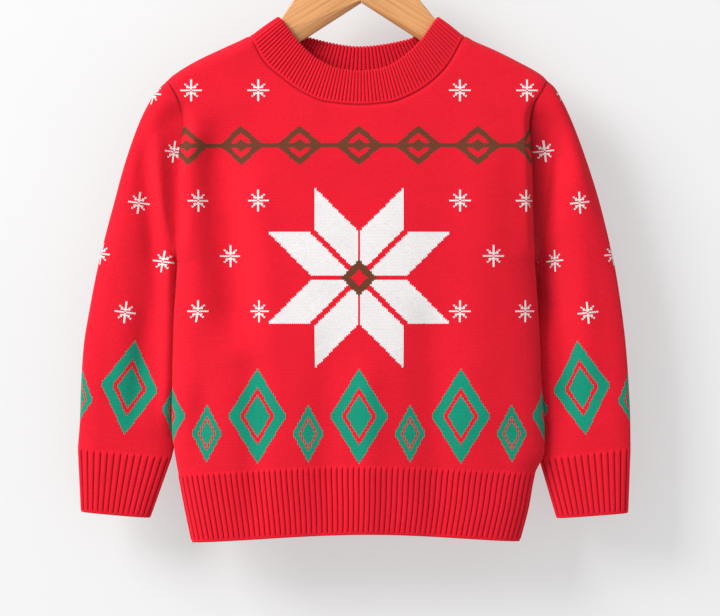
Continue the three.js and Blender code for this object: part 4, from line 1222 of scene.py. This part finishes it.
def new_group(name, inputs, outputs):
    """A shader node group with named sockets; gives the tree, its inputs as Values and its output node."""
    tree = bpy.data.node_groups.new(name, "ShaderNodeTree")
    for title, kind, default in inputs:
        socket = tree.interface.new_socket(title, in_out="INPUT", socket_type="NodeSocket" + kind)
        if default is not None:
            socket.default_value = default
    for title, kind in outputs:
        tree.interface.new_socket(title, in_out="OUTPUT", socket_type="NodeSocket" + kind)
    entry = tree.nodes.new("NodeGroupInput")
    leave = tree.nodes.new("NodeGroupOutput")
    return tree, {title: Value(tree, entry.outputs[title]) for title, _, _ in inputs}, leave


def finish_group(tree, leave, **results):
    for title, value in results.items():
        tree.links.new(value.socket, leave.inputs[title.replace("_", " ")])


def use_group(tree, name, **values):
    """Places a node group and sets or links its inputs."""
    node = tree.nodes.new("ShaderNodeGroup")
    node.node_tree = bpy.data.node_groups[name]
    for title, value in values.items():
        socket = node.inputs[title.replace("_", " ")]
        if isinstance(value, Value):
            tree.links.new(value.socket, socket)
        else:
            socket.default_value = value
    return {output.name: Value(tree, output) for output in node.outputs}


STITCH_SHAPE = 0.735  # height of a stitch over its width


def make_stitch_group():
    """Stockinette: numbers of the wale and course, and the height of the yarn's V over the ground."""
    tree, given, leave = new_group(
        "Stitches", [("Wale", "Float", None), ("Course", "Float", None)],
        [("Column", "Float"), ("Row", "Float"), ("Height", "Float")])
    off_middle = abs(given["Wale"].fract() * 2.0 - 1.0)
    slanted = given["Course"] - off_middle * 0.5
    leg = abs(off_middle - 0.5) * 2.0
    across = (leg * leg).flipped()
    along_leg = abs(slanted.fract() * 2.0 - 1.0) ** 2.0
    height = across.higher(0.0) ** 0.5 * (along_leg * -0.55 + 1.0)
    finish_group(tree, leave, Column=given["Wale"].floor(), Row=slanted.floor(), Height=height)


def make_star_group():
    """Eight-petalled star, by stitches from its middle."""
    tree, given, leave = new_group(
        "Star", [("Column", "Float", None), ("Row", "Float", None), ("Half Width", "Float", 40.0)],
        [("Petals", "Float"), ("Heart", "Float")])
    across = abs(given["Column"])
    up = abs(given["Row"]) * STITCH_SHAPE
    near, far = across.lower(up), across.higher(up)
    half = given["Half Width"]
    petals = near.over(0.8) * near.under(half * 0.5) * (far - near).over(2.0) * (far - near).under(half * 0.5)
    spread = across + up
    heart = spread.under(half * 0.2) * spread.over(half * 0.09)
    finish_group(tree, leave, Petals=petals, Heart=heart)


def make_lozenge_group():
    """A row of stepped lozenges with a smaller one inside each."""
    tree, given, leave = new_group(
        "Lozenges",
        [("Column", "Float", None), ("Row", "Float", None), ("Pitch", "Float", 40.0),
         ("Half Width", "Float", 12.0), ("Half Height", "Float", 30.0), ("Ring From", "Float", 0.45),
         ("Ring To", "Float", 0.6)],
        [("Mask", "Float")])
    half_pitch = given["Pitch"] * 0.5
    across = abs(given["Column"].wrap(half_pitch))
    place = across / given["Half Width"] + abs(given["Row"]) / given["Half Height"]
    ring = place.over(given["Ring From"]) * place.under(given["Ring To"])
    finish_group(tree, leave, Mask=place.under(1.0) * ring.flipped())


def make_crystal_group():
    """Small crystals in a half-drop repeat."""
    tree, given, leave = new_group(
        "Crystals",
        [("Column", "Float", None), ("Row", "Float", None), ("Across", "Float", 32.0), ("Up", "Float", 36.0)],
        [("Mask", "Float")])
    level = (given["Row"] / given["Up"] + 0.5).floor()
    shift = (level * 0.5).fract() * given["Across"]
    half_across = given["Across"] * 0.5
    half_up = given["Up"] * 0.5
    across = abs((given["Column"] + shift).wrap(half_across))
    up = abs(given["Row"].wrap(half_up)) * STITCH_SHAPE
    near, far = across.lower(up), across.higher(up)
    straight = near.under(0.5) * far.under(5.2)
    slanted = (far - near).under(0.55) * far.under(3.3) * far.over(1.0)
    mask = straight.higher(slanted) * (near + far).over(0.6)
    finish_group(tree, leave, Mask=mask)


def make_yarn_group():
    """Yarn colour with soft mottling, painted shade in the grooves between the stitches and the painted shade
    given as Shade.
    """
    tree, given, leave = new_group(
        "Yarn",
        [("Color", "Color", (1, 1, 1, 1)), ("Height", "Float", 1.0), ("Groove", "Float", 0.3),
         ("Shade", "Float", 0.0)],
        [("Color", "Color"), ("Roughness", "Float")])
    cloud, fibre = noise(tree, 38, 4), noise(tree, 900)
    mottle = cloud * 0.16 + fibre * 0.44 + 0.71
    # Painted shade: darker where a stitch's yarn lies low, and darker by the Shade given
    shade = mottle * (given["Height"].flipped() * given["Groove"]).flipped() * given["Shade"].flipped()
    finish_group(tree, leave, Color=scaled(tree, given["Color"], shade), Roughness=fibre * 0.12 + 0.82)


def make_groups():
    for make in (make_stitch_group, make_star_group, make_lozenge_group, make_crystal_group, make_yarn_group):
        make()


# Materials


def new_material(name, roughness=0.85, **settings):
    """A material with its Principled shader, whose plain sockets are set here."""
    material = bpy.data.materials.new(name)
    material.use_nodes = True
    shader = material.node_tree.nodes["Principled BSDF"]
    shader.inputs["Roughness"].default_value = roughness
    for title, value in settings.items():
        shader.inputs[title.replace("_", " ")].default_value = value
    return material, material.node_tree, shader


def stitches_of(tree, reverse=False):
    """Stitches at a point, from the piece's stitch coordinates: on the reverse they lie across."""
    source = tree.nodes.new("ShaderNodeUVMap")
    source.uv_map = "knit"
    split = tree.nodes.new("ShaderNodeSeparateXYZ")
    tree.links.new(source.outputs[0], split.inputs[0])
    wale, course = (Value(tree, split.outputs[k]) for k in ((1, 0) if reverse else (0, 1)))
    return use_group(tree, "Stitches", Wale=wale, Course=course)


def colour(tree, rgb):
    node = tree.nodes.new("ShaderNodeRGB")
    node.outputs[0].default_value = (*rgb, 1)
    return Value(tree, node.outputs[0])


def blend(tree, mask, below, above):
    """One colour over another where the mask is 1."""
    node = tree.nodes.new("ShaderNodeMix")
    node.data_type = "RGBA"
    tree.links.new(mask.socket, node.inputs["Factor"])
    tree.links.new(below.socket, node.inputs[6])
    tree.links.new(above.socket, node.inputs[7])
    return Value(tree, node.outputs[2])


def bump(tree, shader, height, distance, strength=1.0):
    node = tree.nodes.new("ShaderNodeBump")
    node.inputs["Strength"].default_value = strength
    node.inputs["Distance"].default_value = distance
    tree.links.new(height.socket, node.inputs["Height"])
    tree.links.new(node.outputs[0], shader.inputs["Normal"])


def knit_shader(name):
    return new_material(
        name, roughness=0.88, Sheen_Weight=0.12, Sheen_Roughness=0.4, Sheen_Tint=(1.0, 0.4, 0.42, 1.0),
        Specular_IOR_Level=0.12)


def finish_knit(tree, shader, ground, stitches, groove=0.35, distance=0.0004):
    # The mesh's painted shade, and painted shade between the stitches, darken the yarn
    depth = tree.nodes.new("ShaderNodeAttribute")
    depth.attribute_name = "groove"
    shade = Value(tree, depth.outputs["Fac"]) * 0.6
    yarn = use_group(tree, "Yarn", Color=ground, Height=stitches["Height"], Groove=groove, Shade=shade)
    tree.links.new(yarn["Color"].socket, shader.inputs["Base Color"])
    tree.links.new(yarn["Roughness"].socket, shader.inputs["Roughness"])
    bump(tree, shader, stitches["Height"], distance)


def plain_knit(settings, name, reverse):
    """Knit in the ground yarn; its reverse has the stitches lying across."""
    material, tree, shader = knit_shader(name)
    finish_knit(tree, shader, colour(tree, settings.red), stitches_of(tree, reverse))
    return material


def rib_knit(settings, name):
    """Knit in the ground yarn, with painted shade down in the grooves between the ribs."""
    material, tree, shader = knit_shader(name)
    finish_knit(tree, shader, colour(tree, settings.red), stitches_of(tree), groove=0.3, distance=0.0003)
    return material


# The design, in stitches: wales from the middle, courses up from the hook's level
STAR_ROW = -278
STAR_HALF = 46
CHEST_ROW = -187
HEM_ROW = -373
CUFF_ROW = 44  # on the sleeves, courses up from the cuff
CHEST_CLEAR = 17  # courses either side of the chest band that hold no crystals
HEM_CLEAR = 44  # courses over the middle of the green lozenges that hold none
CRYSTALS_TOP = 60  # courses over the chest band where they end
CRYSTALS_SIDE = 93  # wales from the middle where they end
CRYSTAL_REPEAT = {"Across": 34.0, "Up": 38.0}
LOZENGE_PITCH = 52.0
TALL_LOZENGE = {"Half_Width": 15.0, "Half_Height": 33.0}
SHORT_LOZENGE = {"Half_Width": 8.0, "Half_Height": 20.0}
CHEST_LOZENGE = {"Pitch": 30.0, "Half_Width": 12.0, "Half_Height": 14.0, "Ring_From": 0.34, "Ring_To": 0.62}


def green_lozenges(tree, column, row, middle):
    """Tall lozenges about a row of stitches, with short ones between them that stand a little lower."""
    tall = use_group(tree, "Lozenges", Column=column, Row=row - middle, Pitch=LOZENGE_PITCH, **TALL_LOZENGE)
    short = use_group(tree, "Lozenges", Column=column + LOZENGE_PITCH / 2, Row=row - (middle - 12),
                      Pitch=LOZENGE_PITCH, **SHORT_LOZENGE)
    return tall["Mask"].higher(short["Mask"])


def body_design(tree, column, row, settings, with_star):
    """White star and crystals, green lozenges over the hem and a brown band on the chest."""
    ground = colour(tree, settings.red)
    white, green, brown = (colour(tree, rgb) for rgb in (settings.white, settings.green, settings.brown))
    crystals = use_group(tree, "Crystals", Column=column, Row=row - CHEST_ROW, **CRYSTAL_REPEAT)["Mask"]
    clear = row.over(HEM_ROW + HEM_CLEAR) * abs(row - CHEST_ROW).over(CHEST_CLEAR)
    clear = clear * row.under(CHEST_ROW + CRYSTALS_TOP) * abs(column).under(CRYSTALS_SIDE)
    if with_star:
        away = abs(column) * 0.9 + abs(row - STAR_ROW) * STITCH_SHAPE * 0.4
        clear = clear * away.over(STAR_HALF + 2).higher(row.over(CHEST_ROW))
    ground = blend(tree, crystals * clear, ground, white)
    if with_star:
        star = use_group(tree, "Star", Column=column, Row=row - STAR_ROW, Half_Width=float(STAR_HALF))
        ground = blend(tree, star["Petals"], ground, white)
        ground = blend(tree, star["Heart"], ground, brown)
    ground = blend(tree, green_lozenges(tree, column, row, HEM_ROW), ground, green)
    chest = use_group(tree, "Lozenges", Column=column, Row=row - CHEST_ROW, **CHEST_LOZENGE)
    chain = abs(row - CHEST_ROW).under(1.5) * chest["Mask"].flipped()
    return blend(tree, chest["Mask"].higher(chain), ground, brown)


def sleeve_design(tree, column, row, settings):
    """Green lozenges over the cuff and white crystals above them."""
    white, green = (colour(tree, rgb) for rgb in (settings.white, settings.green))
    crystals = use_group(tree, "Crystals", Column=column + 7, Row=row - 19, **CRYSTAL_REPEAT)["Mask"]
    clear = row.over(CUFF_ROW + 42)
    ground = blend(tree, crystals * clear, colour(tree, settings.red), white)
    return blend(tree, green_lozenges(tree, column, row, CUFF_ROW), ground, green)


def patterned_knit(settings, name, piece):
    """Knit with the coloured design of a piece."""
    material, tree, shader = knit_shader(name)
    stitches = stitches_of(tree)
    column, row = stitches["Column"], stitches["Row"]
    if piece == "sleeve":
        ground = sleeve_design(tree, column, row, settings)
    else:
        ground = body_design(tree, column, row, settings, piece == "front")
    finish_knit(tree, shader, ground, stitches)
    return material


def beech(settings):
    """Oiled beech with its grain along the arms."""
    material, tree, shader = new_material("beech", roughness=0.42, Coat_Weight=0.25, Coat_Roughness=0.3)
    place = tree.nodes.new("ShaderNodeTexCoord")
    split = tree.nodes.new("ShaderNodeSeparateXYZ")
    tree.links.new(place.outputs["Object"], split.inputs[0])
    x, y, z = (Value(tree, split.outputs[k]) for k in range(3))
    length_way = abs(x) * 0.86 - z * 0.51
    cross_way = z * 0.86 + abs(x) * (0.6 * 0.86)
    join = tree.nodes.new("ShaderNodeCombineXYZ")
    for k, value in enumerate((length_way * 14.0, y * 160.0, cross_way * 420.0)):
        tree.links.new(value.socket, join.inputs[k])
    figure = noise(tree, 1, 5, place=join.outputs[0], rough=0.6)
    light = colour(tree, [c * 1.12 for c in settings.wood])
    dark = colour(tree, [c * f for c, f in zip(settings.wood, (0.78, 0.66, 0.52))])
    contrast = ((figure - 0.38) * 3.2).higher(0.0).lower(1.0)
    tree.links.new(blend(tree, contrast, light, dark).socket, shader.inputs["Base Color"])
    tree.links.new((figure * 0.2 + 0.32).socket, shader.inputs["Roughness"])
    bump(tree, shader, figure, 0.0002, 0.4)
    return material


def bright_steel():
    """Plated wire with fine marks of the drawing."""
    material, tree, shader = new_material("bright_steel", Metallic=1.0)
    shader.inputs["Base Color"].default_value = (0.78, 0.78, 0.8, 1)
    tree.links.new((noise(tree, 500) * 0.16 + 0.14).socket, shader.inputs["Roughness"])
    return material


# Stage


def add_plane(name, corners, material):
    mesh = bpy.data.meshes.new(name)
    mesh.from_pydata(corners, [], [(0, 1, 2, 3)])
    mesh.materials.append(material)
    obj = bpy.data.objects.new(name, mesh)
    bpy.context.collection.objects.link(obj)
    return obj


def painted_wall(settings):
    """Matt paint that only the camera sees, and from its front, so that light comes from all round."""
    material, tree, shader = new_material("wall_paint", roughness=0.9, Emission_Strength=settings.glow)
    shader.inputs["Emission Color"].default_value = (1, 1, 1, 1)
    cloud = noise(tree, 6, 5)
    tint = scaled(tree, colour(tree, settings.wall), cloud * 0.06 + 0.97)
    tree.links.new(tint.socket, shader.inputs["Base Color"])
    bump(tree, shader, cloud, 0.0015, 0.3)
    side = tree.nodes.new("ShaderNodeNewGeometry")
    ray = tree.nodes.new("ShaderNodeLightPath")
    clear = tree.nodes.new("ShaderNodeBsdfTransparent")
    choose = tree.nodes.new("ShaderNodeMixShader")
    seen = Value(tree, ray.outputs["Is Camera Ray"]) * Value(tree, side.outputs["Backfacing"]).flipped()
    tree.links.new(seen.socket, choose.inputs[0])
    tree.links.new(clear.outputs[0], choose.inputs[1])
    tree.links.new(shader.outputs[0], choose.inputs[2])
    tree.links.new(choose.outputs[0], tree.nodes["Material Output"].inputs["Surface"])
    return material


# The photograph's framing: its scale at the sweater, its middle and where the origin's column falls
PHOTO_WIDE, PHOTO_HIGH = 720, 616
MM_PER_PIXEL = 0.86
ORIGIN_COLUMN, ORIGIN_ROW = 358, -38 - 75 / 0.86
CAMERA_DISTANCE = 3.6
FRONT_PLANE = 0.012  # in front of the middle, where the scale holds
REACH = 1.6  # of the wall and floor, from the sweater's middle


class SWEATER_OT_stage(bpy.types.Operator):
    """Pale wall and floor, soft light and the camera"""

    bl_idname = "sweater.add_stage"
    bl_label = "Stage"

    def execute(self, context):
        scene = context.scene
        settings = scene.sweater_stage
        y, low, paint = settings.wall_gap, settings.floor, painted_wall(settings)
        near = y - 2 * REACH
        add_plane("wall", [(-REACH, y, low), (REACH, y, low), (REACH, y, REACH), (-REACH, y, REACH)], paint)
        add_plane(
            "floor", [(-REACH, near, low), (REACH, near, low), (REACH, y, low), (-REACH, y, low)], paint)
        scene.world = bpy.data.worlds.new("even_light")
        scene.world.use_nodes = True
        scene.world.node_tree.nodes["Background"].inputs["Color"].default_value = (1, 1, 1, 1)
        scene.world.node_tree.nodes["Background"].inputs["Strength"].default_value = settings.sky
        middle = Vector(((PHOTO_WIDE / 2 - ORIGIN_COLUMN) * MM_PER_PIXEL * MM, 0,
                         -(PHOTO_HIGH / 2 - ORIGIN_ROW) * MM_PER_PIXEL * MM))
        self.add_light("key", (-2.75, -2.25, 1.7), middle, settings.key, 1.9)
        camera = bpy.data.cameras.new("camera")
        camera.lens = camera.sensor_width * (CAMERA_DISTANCE - FRONT_PLANE) / (PHOTO_WIDE * MM_PER_PIXEL * MM)
        view = bpy.data.objects.new("camera", camera)
        view.location = middle + Vector((0, -CAMERA_DISTANCE, 0))
        view.rotation_euler = (math.radians(90), 0, 0)
        scene.collection.objects.link(view)
        scene.camera = view
        scene.view_settings.view_transform = "Standard"
        return {"FINISHED"}

    def add_light(self, name, place, target, power, size):
        light = bpy.data.lights.new(name, "AREA")
        light.energy = power
        light.size = size
        obj = bpy.data.objects.new(name, light)
        obj.location = place
        obj.rotation_euler = (target - obj.location).to_track_quat("-Z", "Y").to_euler()
        bpy.context.scene.collection.objects.link(obj)


# Add-on

OPERATORS = (
    SWEATER_OT_body,
    SWEATER_OT_hem,
    SWEATER_OT_sleeves,
    SWEATER_OT_cuffs,
    SWEATER_OT_neckband,
    SWEATER_OT_seams,
    SWEATER_OT_hanger,
    SWEATER_OT_stage,
)


class SWEATER_PT_panel(bpy.types.Panel):
    """Lists the sweater's pieces and settings"""

    bl_label = "Sweater"
    bl_space_type = "VIEW_3D"
    bl_region_type = "UI"
    bl_category = "Sweater"

    def draw(self, context):
        for operator in OPERATORS:
            self.layout.operator(operator.bl_idname)
        for group in (context.scene.sweater_knit, context.scene.sweater_hanger, context.scene.sweater_stage):
            for name in group.bl_rna.properties.keys():
                if name not in ("rna_type", "name"):
                    self.layout.prop(group, name)


SETTINGS = {"sweater_knit": KnitSettings, "sweater_hanger": HangerSettings, "sweater_stage": StageSettings}


def register():
    for cls in (*SETTINGS.values(), *OPERATORS, SWEATER_PT_panel):
        bpy.utils.register_class(cls)
    for name, cls in SETTINGS.items():
        setattr(bpy.types.Scene, name, PointerProperty(type=cls))


def unregister():
    for name in SETTINGS:
        delattr(bpy.types.Scene, name)
    for cls in reversed((*SETTINGS.values(), *OPERATORS, SWEATER_PT_panel)):
        bpy.utils.unregister_class(cls)


def main():
    register()
    make_groups()
    bpy.ops.sweater.add_body()
    bpy.ops.sweater.add_hem()
    bpy.ops.sweater.add_sleeves()
    bpy.ops.sweater.add_cuffs()
    bpy.ops.sweater.add_neckband()
    bpy.ops.sweater.add_seams()
    bpy.ops.sweater.add_hanger()
    bpy.ops.sweater.add_stage()


if __name__ == "__main__":
    main()
